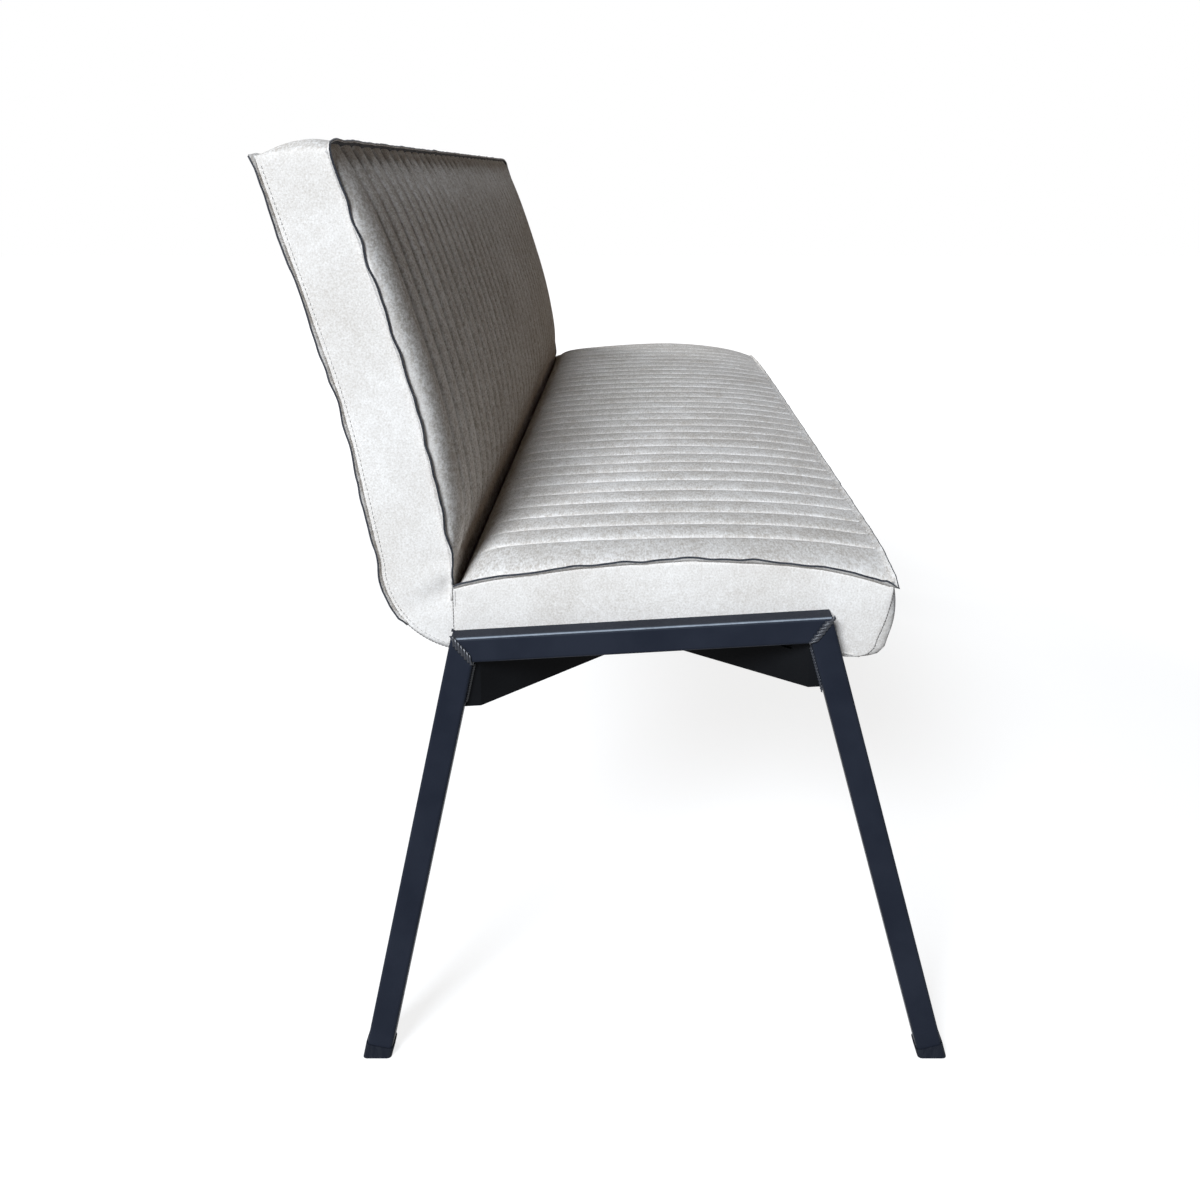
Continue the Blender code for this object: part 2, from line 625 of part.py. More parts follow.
def heel_behind(y_front, behind):
    """The part of a heel that lies behind a given depth, from its lowest point up."""
    arc = heel_arc(behind)
    kept = [point for point in arc if point[0] > y_front]
    below = arc[max(len(arc) - len(kept) - 1, 0)]
    above = kept[0]
    share = max(y_front - below[0], 0.0) / max(above[0] - below[0], GAP)
    return [(y_front, below[1] + share * (above[1] - below[1]))] + kept


def back_section(x, stitched):
    """Ring round the back: up its front, over the top, down the rear and round the heel."""
    rear = OUTER_FRONT - GAP
    heel = heel_behind(BACK_Y, rear)
    ring = [heel[0]]
    for share in spread(BACK_SPANS):
        y, z = back_point(BACK_FOOT_Z + share * (OVERALL_HEIGHT - BACK_FOOT_Z), 0.0)
        swell = BACK_CROWN * end_rise(x) - stitched * CHANNEL_DEPTH
        ring.append((y - swell * bow(share), z))
    ring += reversed(back_line(HEEL_Z, REAR_TOP_Z, rear))
    ring += reversed(heel[1:])
    return ring


def loft(name, section):
    """Skin over the sections at all stations, closed by a flat face at each end."""
    bm = bmesh.new()
    rings = [[bm.verts.new((x, y, z)) for y, z in section(x, stitched)] for x, stitched in stations()]
    for ring, following in zip(rings, rings[1:]):
        for i in range(len(ring)):
            bm.faces.new((ring[i - 1], ring[i], following[i], following[i - 1]))
    bm.faces.new(rings[0])
    bm.faces.new(rings[-1])
    return finished_mesh(name, bm)


def padded_cover(name, section, pocket_outline):
    """Soft cover with its channels, open inside for what it is pulled over."""
    cover = add_part(name, loft(name, section), FABRIC)
    pocket = outline_mesh(name + "_pocket", pocket_outline, 2 * POCKET_END)
    combine(cover, add_cutter(name + "_pocket", pocket, side_view()), "DIFFERENCE")


def foam_line(drop):
    """Underside of the seat cover, from the seat's rear edge to inside its front."""
    last = (SEAT_REAR_Y - POCKET_FRONT_Y) / SEAT_DEPTH
    line = [seat_top(share * last, SEAT_END) for share in spread(TOP_SPANS)]
    return [(y, z - PAD - drop) for y, z in line]


def seat_upholstery(holes):
    past_rear_y = SEAT_REAR_Y + PAD
    pocket = [(past_rear_y, COVER_BOTTOM_Z), (past_rear_y, SEAT_EDGE_Z - PAD)]
    pocket += foam_line(0.0)
    pocket.append((POCKET_FRONT_Y, COVER_BOTTOM_Z))
    padded_cover("seat_cover", seat_section, pocket)
    foam = [(SEAT_REAR_Y, DECK_TOP_Z + GAP)]
    foam += [(max(y, TIMBER_FRONT_Y), z) for y, z in foam_line(GAP)]
    foam.append((TIMBER_FRONT_Y, DECK_TOP_Z + GAP))
    add_profile("seat_foam", foam, 2 * INNER_END, FOAM)
    dust = box_outline(LIP_Y + GAP, HEEL_Y - GAP, DUST_BOTTOM_Z, COVER_BOTTOM_Z)
    sheet = add_profile("dust_cover", dust, 2 * INNER_END, FELT)
    for hole in holes:
        combine(sheet, hole, "DIFFERENCE")


def back_upholstery():
    before_y = BACK_Y - PAD
    behind_y = OVERALL_DEPTH / 2 + PAD
    low_z = BASE_Z - HEEL_RADIUS
    stand_z = DECK_TOP_Z + GAP
    pocket = [(behind_y, low_z), (behind_y, POCKET_TOP_Z)]
    pocket += reversed(back_line(stand_z, POCKET_TOP_Z, PAD))
    pocket += [(before_y, stand_z), (before_y, low_z)]
    padded_cover("back_cover", back_section, pocket)
    sheet_round_heel("outer_back_cover", OUTER_FRONT, OUTER_COVER, REAR_TOP_Z, SEAT_LENGTH, FABRIC)


def build_bench():
    start_scene()
    end_frame("left", -FRAME_X)
    end_frame("right", FRAME_X)
    seat_room = under_seat()
    left_holes = braces("left", -FRAME_X, seat_room)
    right_holes = braces("right", FRAME_X, seat_room)
    timber(left_holes, right_holes)
    seat_upholstery(sum(left_holes.values(), []) + sum(right_holes.values(), []))
    back_upholstery()


build_bench()
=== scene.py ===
"""Looks of the dining bench: padded covers, flanged seams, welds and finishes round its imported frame."""
from math import acos, copysign, cos, exp, pi, radians, sin, sqrt, tan

import bmesh
import bpy
import numpy as np
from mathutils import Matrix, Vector, noise


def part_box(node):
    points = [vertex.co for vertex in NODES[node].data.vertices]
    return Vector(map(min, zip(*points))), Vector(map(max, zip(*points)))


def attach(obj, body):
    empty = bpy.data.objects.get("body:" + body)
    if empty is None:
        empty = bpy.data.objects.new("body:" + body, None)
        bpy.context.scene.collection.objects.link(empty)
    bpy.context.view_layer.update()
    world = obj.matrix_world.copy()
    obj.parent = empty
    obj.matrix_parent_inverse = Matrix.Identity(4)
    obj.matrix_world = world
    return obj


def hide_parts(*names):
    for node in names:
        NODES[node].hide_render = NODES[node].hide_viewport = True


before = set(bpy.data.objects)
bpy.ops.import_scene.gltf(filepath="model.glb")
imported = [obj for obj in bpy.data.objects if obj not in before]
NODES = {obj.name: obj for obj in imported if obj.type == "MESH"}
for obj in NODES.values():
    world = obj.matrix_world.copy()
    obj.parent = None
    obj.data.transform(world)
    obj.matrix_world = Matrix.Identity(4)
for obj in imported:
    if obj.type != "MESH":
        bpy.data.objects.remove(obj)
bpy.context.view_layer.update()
BODY = "root"

# Places from the frame
_, SEAT_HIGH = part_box("seat_cover")
_, BACK_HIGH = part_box("back_cover")
RIB_LOW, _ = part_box("left_end_rib")
DUST_LOW, DUST_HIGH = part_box("dust_cover")
_, BATTEN_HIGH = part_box("front_batten")
GAP = 0.0003
SEAT_END = SEAT_HIGH.x
SEAT_REAR_Y = SEAT_HIGH.y
BACK_Y = SEAT_REAR_Y + GAP
TOP_Z = BACK_HIGH.z
BASE_Z = RIB_LOW.z
LIP_Y = BATTEN_HIGH.y
SIDES = (-1, 1)  # left and right end, along X
X, Y, Z = (Vector(axis) for axis in ((1, 0, 0), (0, 1, 0), (0, 0, 1)))

# Seat, close to its solid
SEAT_DEPTH = 0.41
SEAT_FRONT_Y = SEAT_REAR_Y - SEAT_DEPTH
SEAT_EDGE_Z = 0.477
SEAT_CROWN = 0.0255  # at the ends
EDGE_LIFT = 0.021  # of the front and rear edges over their corners
MIDDLE_CROWN = 0.012  # over those lifted edges
CORNER_RUN = 0.09
CROWN_POWER = 2.4
REAR_POWER = 3.2  # fullness of the crown to the rear, and to the front
FRONT_POWER = 5.5
BOW_PEAK = 0.885  # highest value of the two together
CREVICE = 0.036  # depth of the seat's rear edge before the back
CREVICE_RUN = 0.0105
FAR_FALL = 0.013  # settling at the right front corner
FAR_RUN = 0.15
FAR_POWER = 11
EDGE_DRAW = 0.005  # of the front seam, between the corners
DRAW_POWER = 4  # how late it comes on top, and how soon it goes on the front
DRAW_FADE = 1.5
APRON_DRAFT = 0.006  # of the front, at its lower ends
APRON_BULGE = 0.008
APRON_RADIUS = 0.018
SEAM_WRAP = 0.008  # of the front onto the ends, at its lower edge
APRON_BOTTOM_Z = BASE_Z - 0.011
LIP_Z = BASE_Z - 0.0063
SKIRT_Z = BASE_Z + 0.002
LIP_SLOPE = 3  # of the boxing's lower edge, up from the front's round

# Back, close to its solid
BACK_CROWN = 0.018
FAR_SETTLE = 0.35  # part of the crown, at the right end
SETTLE_RUN = 0.4
BACK_ROUND = 0.042  # over which the crown rises from the end seams
FOOT_POWER = 7  # fullness of the crown's lower and upper half
HEAD_POWER = 4
BACK_FOOT_Z = SEAT_EDGE_Z + EDGE_LIFT + GAP
BACK_DEPTH = 0.0665
TOP_FALL = 0.012
TOP_BULGE = 0.002
TOP_SWELL = 0.006  # more of it away from the end seams
END_ROUND = 0.034
END_FALL = 0.006  # of the top, down to the end seams
HEEL_RADIUS = 0.0846
HEEL_Y = BACK_Y - 0.0181
HEEL_Z = BASE_Z + 0.08
HEEL_SHARE = 0.03  # of the rear line, where it passes under the front of the back
CORNER_SHARE = 0.135  # of the rear line, on the round of the heel
LOWER_LEAN = tan(radians(10.5))
UPPER_LEAN = tan(radians(17))
KNEE_Z = SEAT_EDGE_Z + 0.168
KNEE_BLEND = 0.04

# Stitched lines
CHANNELS = 30
CHANNEL_BORDER = 0.062
FIRST_LINE = CHANNEL_BORDER - SEAT_END
PITCH = -2 * FIRST_LINE / CHANNELS
SEAT_GROOVE = 0.0042
BACK_GROOVE = 0.0088
LINE_WIDTH = 0.005  # from a stitched line to where its side has mostly risen
SLIT_WIDTH = 0.0016  # of the pinch at the stitches
SEAT_SLIT = 0.8  # the pinch's part of the depth
BACK_SLIT = 0.42
SEAT_FADE = 0.04  # share of a line over which it gets shallow before a seam
BACK_FADE = 0.02
FADE_POWER = 0.7
GATHER_SHARE = 0.05  # of the back, where its lines deepen under the top seam
GATHER_KEPT = 0.22  # part of this that is left at the seam itself
GATHER_RISE = 0.02
CELL_SHARES = (0, 0.022, 0.05, 0.11, 0.25, 0.5, 0.75, 0.89, 0.95, 0.978)
BORDER_SHARES = (0, 0.05, 0.12, 0.21, 0.32, 0.45, 0.58, 0.71, 0.83, 0.915, 0.962, 0.984)

# Unevenness of the padding
SEAT_WAVE, SEAT_LUMP = 0.0011, 0.0007
BACK_WAVE, BACK_LUMP = 0.0012, 0.0009
PUCKER = 0.0015  # rise of the gathers beside a seam
PUCKER_RUN = 0.022
PUCKER_SHARE = 0.06  # of the back's height, under its top seam
PINCH = 0.006  # fold at the end of the seat's seam
PINCH_RUN = 0.03
PINCH_WIDTH = 0.0075
PINCH_COS, PINCH_SIN = 0.88, 0.47
PINCH_RIDGE = 0.6  # of the ridge beside its valley


# Shared shapes

def bow(share, power=CROWN_POWER):
    """Crown between two edges: 0 at both, 1 in the middle."""
    return 1 - abs(2 * share - 1) ** power


def seat_bow(share):
    """Crown of the seat from rear to front edge, fullest towards the front."""
    return (1 - (1 - share) ** REAR_POWER) * (1 - share ** FRONT_POWER) / BOW_PEAK


def end_rise(x, run):
    """Quarter round by which a form comes up from the end seams."""
    inside = min((SEAT_END - abs(x)) / run, 1)
    return sqrt(max(1 - (1 - inside) ** 2, 0))


def ripple(x, y, z, scale):
    """Smooth unevenness between about -1 and 1 at a place, at that many waves a metre."""
    return noise.noise(Vector((x, y, z)) * scale)


def back_lean(z):
    """Distance by which the back has leant to the rear at height z."""
    into_bend = min(max(z - KNEE_Z + KNEE_BLEND, 0), 2 * KNEE_BLEND)
    above_bend = max(z - KNEE_Z - KNEE_BLEND, 0)
    bent = into_bend ** 2 / (4 * KNEE_BLEND) + above_bend
    return max(z - HEEL_Z, 0) * LOWER_LEAN + (UPPER_LEAN - LOWER_LEAN) * bent


def groove(away, slit):
    """Depth of a stitched line, from 1 on it to 0 far away, with that part of it in the pinch."""
    return slit * exp(-away / SLIT_WIDTH) + (1 - slit) * exp(-away / LINE_WIDTH)


def stations():
    """Places along the length, each with its distance from the nearest stitched line."""
    border = [-SEAT_END + CHANNEL_BORDER * share for share in BORDER_SHARES]
    places = [(x, FIRST_LINE - x) for x in border]
    for channel in range(CHANNELS):
        for share in CELL_SHARES:
            places.append((FIRST_LINE + (channel + share) * PITCH, min(share, 1 - share) * PITCH))
    places.append((-FIRST_LINE, 0))
    return places + [(-x, away) for x, away in reversed(places[:len(border)])]


STATIONS = stations()
BETWEEN_ENDS = [x for x, _ in STATIONS[1:-1]]
LINES = [FIRST_LINE + channel * PITCH for channel in range(CHANNELS + 1)]


def spread(count, ease=0.5):
    """Shares from 0 to 1, a little closer together towards both ends."""
    eased = [(1 - cos(pi * i / count)) / 2 for i in range(count + 1)]
    return [ease * e + (1 - ease) * i / count for i, e in enumerate(eased)]


# Points of the seat

def seat_top(x, share):
    """Top of the seat, from its rear edge to its front edge."""
    lifted = end_rise(x, CORNER_RUN)
    crown = SEAT_CROWN + (MIDDLE_CROWN - SEAT_CROWN) * lifted
    z = SEAT_EDGE_Z + EDGE_LIFT * lifted + crown * seat_bow(share)
    z -= CREVICE * lifted * exp(-share * SEAT_DEPTH / CREVICE_RUN)
    z -= FAR_FALL * exp((x - SEAT_END) / FAR_RUN) * share ** FAR_POWER
    drawn = EDGE_DRAW * lifted * share ** DRAW_POWER
    return Vector((x, SEAT_REAR_Y - share * SEAT_DEPTH + drawn, z))


def apron_draft(x):
    """Distance by which the seat's front is drawn in at its lower ends."""
    return APRON_DRAFT * (1 - end_rise(x, END_ROUND))


def seat_apron(x, share):
    """Front of the seat, from its top edge down to where it turns under."""
    z_top = seat_top(x, 1).z
    z_low = APRON_BOTTOM_Z + APRON_RADIUS
    bulge = APRON_BULGE * end_rise(x, END_ROUND) * bow(share)
    wrap = SEAM_WRAP * share ** 2 if abs(x) == SEAT_END else 0
    drawn = EDGE_DRAW * end_rise(x, CORNER_RUN) * (1 - share) ** DRAW_FADE
    y = SEAT_FRONT_Y + share * apron_draft(x) + drawn - bulge + wrap
    return Vector((x, y, z_top + share * (z_low - z_top)))


def seat_hem(x, share):
    """Turn under the front of the seat, to its hem under the front batten."""
    y = SEAT_FRONT_Y + apron_draft(x) + APRON_RADIUS + (SEAM_WRAP if abs(x) == SEAT_END else 0)
    z = APRON_BOTTOM_Z + APRON_RADIUS
    if share <= 0.5:
        turn = pi * (1 + share)
        return Vector((x, y + APRON_RADIUS * cos(turn), z + APRON_RADIUS * sin(turn)))
    along = 2 * share - 1
    return Vector((x, y + along * (LIP_Y - y), APRON_BOTTOM_Z + along * (LIP_Z - APRON_BOTTOM_Z)))


# Points of the back

def back_height(x):
    """Height of the back's front top edge."""
    inside = min((SEAT_END - abs(x)) / END_ROUND, 1)
    return TOP_Z - END_FALL * (1 - inside) ** 2


def back_front(x, share):
    """Front of the back, from the seat up to its top edge."""
    z = BACK_FOOT_Z + share * (back_height(x) - BACK_FOOT_Z)
    full = BACK_CROWN * (1 - FAR_SETTLE * exp((x - SEAT_END) / SETTLE_RUN))
    crown = full * end_rise(x, BACK_ROUND) * bow(share, HEAD_POWER if share > 0.5 else FOOT_POWER)
    return Vector((x, BACK_Y + back_lean(z) - crown, z))


def back_top(x, share):
    """Top of the back, from its front edge to its rear edge."""
    front_y = BACK_Y + back_lean(back_height(x))
    rear_y = BACK_Y + back_lean(TOP_Z - TOP_FALL) + BACK_DEPTH
    bulge = TOP_BULGE + TOP_SWELL * end_rise(x, END_ROUND)
    fall = (TOP_Z - back_height(x)) * (1 - share ** 3) + TOP_FALL * share
    return Vector((x, front_y + share * (rear_y - front_y), TOP_Z - fall + bulge * bow(share)))


def back_rear(x, share):
    """Rear of the back, from under the seat round the heel and up to the top edge."""
    arc = HEEL_RADIUS * pi / 2
    rise = TOP_Z - TOP_FALL - HEEL_Z
    run = share * (arc + rise)
    if run < arc:
        turn = run / HEEL_RADIUS - pi / 2
        return Vector((x, HEEL_Y + HEEL_RADIUS * cos(turn), HEEL_Z + HEEL_RADIUS * sin(turn)))
    z = HEEL_Z + run - arc
    return Vector((x, BACK_Y + back_lean(z) + BACK_DEPTH, z))


# Meshes

MERGE = 0.00005  # points this close are one
SEAM_CREASE = 0.75
CLOTH_SETTINGS = {
    "quality": 6, "mass": 0.3, "tension_stiffness": 30, "compression_stiffness": 30,
    "shear_stiffness": 12, "bending_stiffness": 0.6, "vertex_group_mass": "sewn", "use_pressure": True}


def new_object(name, mesh):
    obj = bpy.data.objects.new(name, mesh)
    bpy.context.scene.collection.objects.link(obj)
    return obj


def mesh_object(name, bm):
    """Object with the mesh that was built in bm."""
    mesh = bpy.data.meshes.new(name)
    bm.to_mesh(mesh)
    bm.free()
    return new_object(name, mesh)


def closed_object(name, bm):
    """Object from closed forms, with all their faces turned outwards."""
    bmesh.ops.recalc_face_normals(bm, faces=bm.faces[:])
    return mesh_object(name, bm)


def join_rings(bm, rings):
    """Closed skin over a row of rings; gives its faces with their places along and round."""
    made = []
    for k, (ring, following) in enumerate(zip(rings, rings[1:])):
        for i in range(len(ring)):
            j = (i + 1) % len(ring)
            face = bm.faces.new((ring[i], ring[j], following[j], following[i]))
            face.smooth = True
            made.append((k, i, face))
    bm.faces.new(rings[0])
    bm.faces.new(rings[-1])
    return made


def add_grid(bm, rows):
    """Quads over rows of points, each with how far it is sewn down, from 0 to 1."""
    held = bm.verts.layers.float["sewn"]
    made = []
    for row in rows:
        made.append([bm.verts.new(point) for point, _ in row])
        for vert, (_, hold) in zip(made[-1], row):
            vert[held] = hold
    for row, following in zip(made, made[1:]):
        for i in range(len(row) - 1):
            bm.faces.new((row[i], row[i + 1], following[i + 1], following[i]))


def coons(low, high, first, last):
    """Patch of points between four edges: rows run from the low edge to the high one."""
    rows, columns = len(first), len(low)
    patch = []
    for r in range(rows):
        v = r / (rows - 1)
        row = []
        for c in range(columns):
            u = c / (columns - 1)
            across = low[c] * (1 - v) + high[c] * v
            along = first[r] * (1 - u) + last[r] * u
            corners = (low[0] * (1 - u) + low[-1] * u) * (1 - v) + (high[0] * (1 - u) + high[-1] * u) * v
            row.append(across + along - corners)
        patch.append(row)
    return patch


def gathered(patch, side):
    """Patch over an end, with small gathers beside the seams on its rim."""
    rim = patch[0] + patch[-1] + [row[0] for row in patch] + [row[-1] for row in patch]
    for row in patch[1:-1]:
        for c in range(1, len(row) - 1):
            near = min(rim, key=lambda point: (point - row[c]).length_squared)
            away = (near - row[c]).length
            pull = PUCKER * ripple(near.y, side, near.z, 40) * exp(-away / PUCKER_RUN)
            row[c] = row[c] + X * (side * pull)
    return patch


def rim_held(patch):
    """Patch with its points held round its rim and free inside it."""
    ends, sides = (0, len(patch) - 1), (0, len(patch[0]) - 1)
    return [[(point, float(r in ends or c in sides)) for c, point in enumerate(row)]
            for r, row in enumerate(patch)]


def skin_object(name, bm, outward):
    """Object from a skin, turned so that its face nearest a point looks in a direction."""
    bmesh.ops.remove_doubles(bm, verts=bm.verts[:], dist=MERGE)
    bmesh.ops.recalc_face_normals(bm, faces=bm.faces[:])
    point, direction = outward
    nearest = min(bm.faces, key=lambda face: (face.calc_center_median() - point).length)
    nearest.normal_update()
    if nearest.normal.dot(direction) < 0:
        bmesh.ops.reverse_faces(bm, faces=bm.faces[:])
    held = bm.verts.layers.float["sewn"]
    crease = bm.edges.layers.float.new("crease_edge")
    for edge in bm.edges:
        if all(vert[held] > 0.9 for vert in edge.verts):
            edge[crease] = SEAM_CREASE
    weights = [vert[held] for vert in bm.verts]
    for face in bm.faces:
        face.smooth = True
    obj = mesh_object(name, bm)
    group = obj.vertex_groups.new(name="sewn")
    for index, weight in enumerate(weights):
        if weight > 0:
            group.add([index], weight, "REPLACE")
    return obj


def new_skin():
    bm = bmesh.new()
    bm.verts.layers.float.new("sewn")
    return bm


def coordinates(mesh):
    places = np.zeros(len(mesh.vertices) * 3)
    mesh.vertices.foreach_get("co", places)
    return places.reshape(-1, 3)


def swell(obj, pressure, frames, cap):
    """Let a cover swell between its sewn lines, by cloth simulation, by no more than a cap."""
    scene = bpy.context.scene
    start = coordinates(obj.data)
    cloth = obj.modifiers.new("cloth", "CLOTH")
    cloth.point_cache.frame_start = 1
    cloth.point_cache.frame_end = frames
    for key, value in CLOTH_SETTINGS.items():
        setattr(cloth.settings, key, value)
    cloth.settings.uniform_pressure_force = pressure
    cloth.settings.effector_weights.gravity = 0
    cloth.collision_settings.use_collision = False
    for step in range(1, frames + 1):
        scene.frame_set(step)
    shift = coordinates(obj.evaluated_get(bpy.context.evaluated_depsgraph_get()).data) - start
    length = np.maximum(np.linalg.norm(shift, axis=1), 1e-9)
    shift *= np.minimum(1, cap / length)[:, None]
    obj.modifiers.remove(cloth)
    scene.frame_set(1)
    obj.data.vertices.foreach_set("co", (start + shift).ravel())
    obj.data.update()


def finish_shell(obj, thickness, levels=1):
    """Smooth a skin and give it its thickness on the inside."""
    if levels:
        smooth = obj.modifiers.new("smooth", "SUBSURF")
        smooth.levels = levels
        smooth.render_levels = levels
    shell = obj.modifiers.new("shell", "SOLIDIFY")
    shell.thickness = thickness
    shell.offset = -1
    shell.use_even_offset = False
    solid = obj.evaluated_get(bpy.context.evaluated_depsgraph_get())
    mesh = bpy.data.meshes.new_from_object(solid)
    obj.modifiers.clear()
    old = obj.data
    obj.data = mesh
    mesh.name = obj.name
    bpy.data.meshes.remove(old)
    obj.vertex_groups.clear()


def dress(obj, material, replaced=()):
    """Give a piece its finish and its place on the frame."""
    for item in material if isinstance(material, (list, tuple)) else (material,):
        obj.data.materials.append(item)
    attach(obj, BODY)
    if replaced:
        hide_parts(*replaced)


# Covers

TOP_SHARES = [0, 0.006, 0.013, 0.022] + [0.034 + 0.959 * share for share in spread(28)] + [1]
APRON_SHARES = [i / 8 for i in range(1, 9)]
HEM_SHARES = [i / 6 for i in range(1, 7)]
HEM_ROUND = HEM_SHARES[:3]
REAR_DROPS = (0.03, 0.018, 0.007)
APRON_HOLD = 0.6  # how far the front is held where it turns under
FRONT_SHARES = [0, 0.01, 0.022, 0.036] + [0.055 + 0.945 * share for share in spread(27)]
CAP_SHARES = [i / 14 for i in range(1, 15)]
FOOT_DROPS = (0.034, 0.02, 0.008)
DROP_ROWS = 8
OUTER_COLUMNS, OUTER_SHARES = 96, spread(44, 0.3)
OUTER_SLACK, OUTER_LUMP, OUTER_BULGE = 0.0012, 0.0006, 0.001
OUTER_THICK = 0.0015
DUST_COLUMNS, DUST_SHARES = 90, [i / 22 for i in range(23)]
DUST_SAG, DUST_WAVE = 0.0009, 0.0007
DUST_GAP = 0.00005
DUST_THICK = 0.0006
SHELL = 0.0022  # thickness of the seat and back covers
PRESSURE, FRAMES = 4, 16  # of the simulation
SEAT_RISE, BACK_RISE = 0.0022, 0.0035  # by which it may swell them


def line_depth(share, run):
    """Part of a stitched line's depth along it: less just before the seams."""
    return min(1, min(share, 1 - share) / run) ** FADE_POWER


def padded_seat(x, share, depth):
    """Point on top of the padded seat, with that part of a stitched line's depth."""
    point = seat_top(x, share)
    wave = SEAT_WAVE * ripple(x, point.y, 0, 14) * bow(share)
    lump = SEAT_LUMP * ripple(x, point.y, 3, 9) * bow(share, 4)
    return point + Vector((wave, 0, lump - SEAT_GROOVE * depth))


def padded_back(x, share, depth, pull=0):
    """Point on the padded back, with that part of a stitched line's depth, and a pull."""
    point = back_front(x, share)
    wave = BACK_WAVE * ripple(x, 5, point.z, 13) * bow(share)
    lump = BACK_LUMP * ripple(x, 8, point.z, 8) * bow(share, 4)
    return point + Vector((wave, lump + pull + BACK_GROOVE * depth, 0))


def cover(name, row_at, boxing, outward):
    """Cover from its rows of points across the length, with boxing over both ends."""
    bm = new_skin()
    add_grid(bm, [row_at(x, away) for x, away in STATIONS])
    for x in (-SEAT_END, SEAT_END):
        add_grid(bm, rim_held(boxing(x)))
    return skin_object(name, bm, outward)


def hanging(point, drops):
    """Points straight under an edge, held."""
    return [(point - Z * drop, 1) for drop in drops]


def sewn_here(share, away):
    """1 on a stitched line and on the seams at its ends."""
    return float(away == 0 or share in (0, 1))


def seat_row(x, away):
    """Points of the seat's cover, from its rear edge over the top and front to the hem."""
    line = groove(away, SEAT_SLIT)
    row = hanging(seat_top(x, 0), REAR_DROPS)
    for share in TOP_SHARES:
        row.append((padded_seat(x, share, line * line_depth(share, SEAT_FADE)), sewn_here(share, away)))
    row += [(seat_apron(x, share), float(share == 1) * APRON_HOLD) for share in APRON_SHARES]
    return row + [(seat_hem(x, share), 1) for share in HEM_SHARES]


def seat_boxing(x):
    """Boxing over one end of the seat."""
    top = [seat_top(x, share) for share in TOP_SHARES]
    front = [seat_apron(x, share) for share in [0] + APRON_SHARES]
    front += [seat_hem(x, share) for share in HEM_ROUND]
    spans = len(front) - 1
    low_front = front[-1]
    low = []
    for share in TOP_SHARES:
        y = SEAT_REAR_Y + share * (low_front.y - SEAT_REAR_Y)
        under = max(0, (LIP_Y - y) / (LIP_Y - low_front.y))
        low.append(Vector((x, y, SKIRT_Z + (low_front.z - SKIRT_Z) * min(1, under * LIP_SLOPE))))
    rear = [top[0].lerp(low[0], i / spans) for i in range(spans + 1)]
    return gathered(coons(top, low, rear, front), copysign(1, x))


def back_row(x, away):
    """Points of the back's cover from its foot up the front and over the top."""
    line = groove(away, BACK_SLIT)
    row = hanging(back_front(x, 0), FOOT_DROPS)
    for share in FRONT_SHARES:
        below = 1 - share
        gathers = exp(-below / GATHER_SHARE) * min(1, GATHER_KEPT + below / GATHER_RISE)
        depth = line * (line_depth(share, BACK_FADE) + gathers)
        pull = PUCKER * ripple(x, 2, 0.3, 60) * exp(-below / PUCKER_SHARE) * bow(share, 24)
        row.append((padded_back(x, share, depth, pull), sewn_here(share, away)))
    return row + [(back_top(x, share), float(share == 1)) for share in CAP_SHARES]


def heel_line(x, spans):
    """Points under the heel, from below the back's front to the round."""
    return [back_rear(x, HEEL_SHARE + (CORNER_SHARE - HEEL_SHARE) * i / spans) for i in range(spans + 1)]


def pinch(point):
    """Fold in the back's boxing, down and to the rear from the end of the seat's seam."""
    y, z = point.y - BACK_Y, point.z - SEAT_EDGE_Z
    along = PINCH_COS * y - PINCH_SIN * z
    across = PINCH_SIN * y + PINCH_COS * z
    fade = exp(-max(along, 0) / PINCH_RUN) * min(1, max(0, 1 + along / PINCH_WIDTH))
    valley = exp(-(across / PINCH_WIDTH) ** 2)
    ridge = exp(-((across - 2 * PINCH_WIDTH) / PINCH_WIDTH) ** 2)
    return PINCH * fade * (PINCH_RIDGE * ridge - valley)


def back_boxing(x):
    """Boxing over one end of the back."""
    front = [back_front(x, share) for share in FRONT_SHARES]
    top = [back_front(x, 1)] + [back_top(x, share) for share in CAP_SHARES]
    low = heel_line(x, len(top) - 1)
    left = [low[0].lerp(front[0], i / DROP_ROWS) for i in range(DROP_ROWS)] + front
    spans = len(left) - 1
    rear = [back_rear(x, CORNER_SHARE + (1 - CORNER_SHARE) * i / spans) for i in range(spans + 1)]
    side = copysign(1, x)
    patch = gathered(coons(low, top, left, rear), side)
    for row in patch[1:-1]:
        for c in range(1, len(row) - 1):
            row[c] = row[c] + X * (side * pinch(row[c]))
    return patch


def plain_skin(name, columns, shares, point_at, outward):
    """Skin over a grid of its length and of shares across it, held round its rim."""
    bm = new_skin()
    add_grid(bm, rim_held([[point_at(c / columns, share) for share in shares] for c in range(columns + 1)]))
    return skin_object(name, bm, outward)


def outer_back_point(along, share):
    """Point of the plain cover down the rear of the back and round its heel."""
    x = SEAT_END * (2 * along - 1)
    point = back_rear(x, share)
    inner = bow(share, 6) * bow(along, 8)
    slack = OUTER_SLACK * ripple(x, 1, point.z, 5) + OUTER_LUMP * ripple(x, 4, point.z, 16)
    return point + Y * ((slack + OUTER_BULGE) * inner)


def dust_point(along, share):
    """Point of the black cloth tacked under the seat, sagging a little between its tacks."""
    x = DUST_LOW.x + (DUST_HIGH.x - DUST_LOW.x) * along
    y = DUST_LOW.y + (DUST_HIGH.y - DUST_LOW.y) * share
    sag = (DUST_SAG + DUST_WAVE * ripple(x, y, 2, 7)) * bow(along, 10) * bow(share, 4)
    return Vector((x, y, DUST_HIGH.z - DUST_GAP - sag))


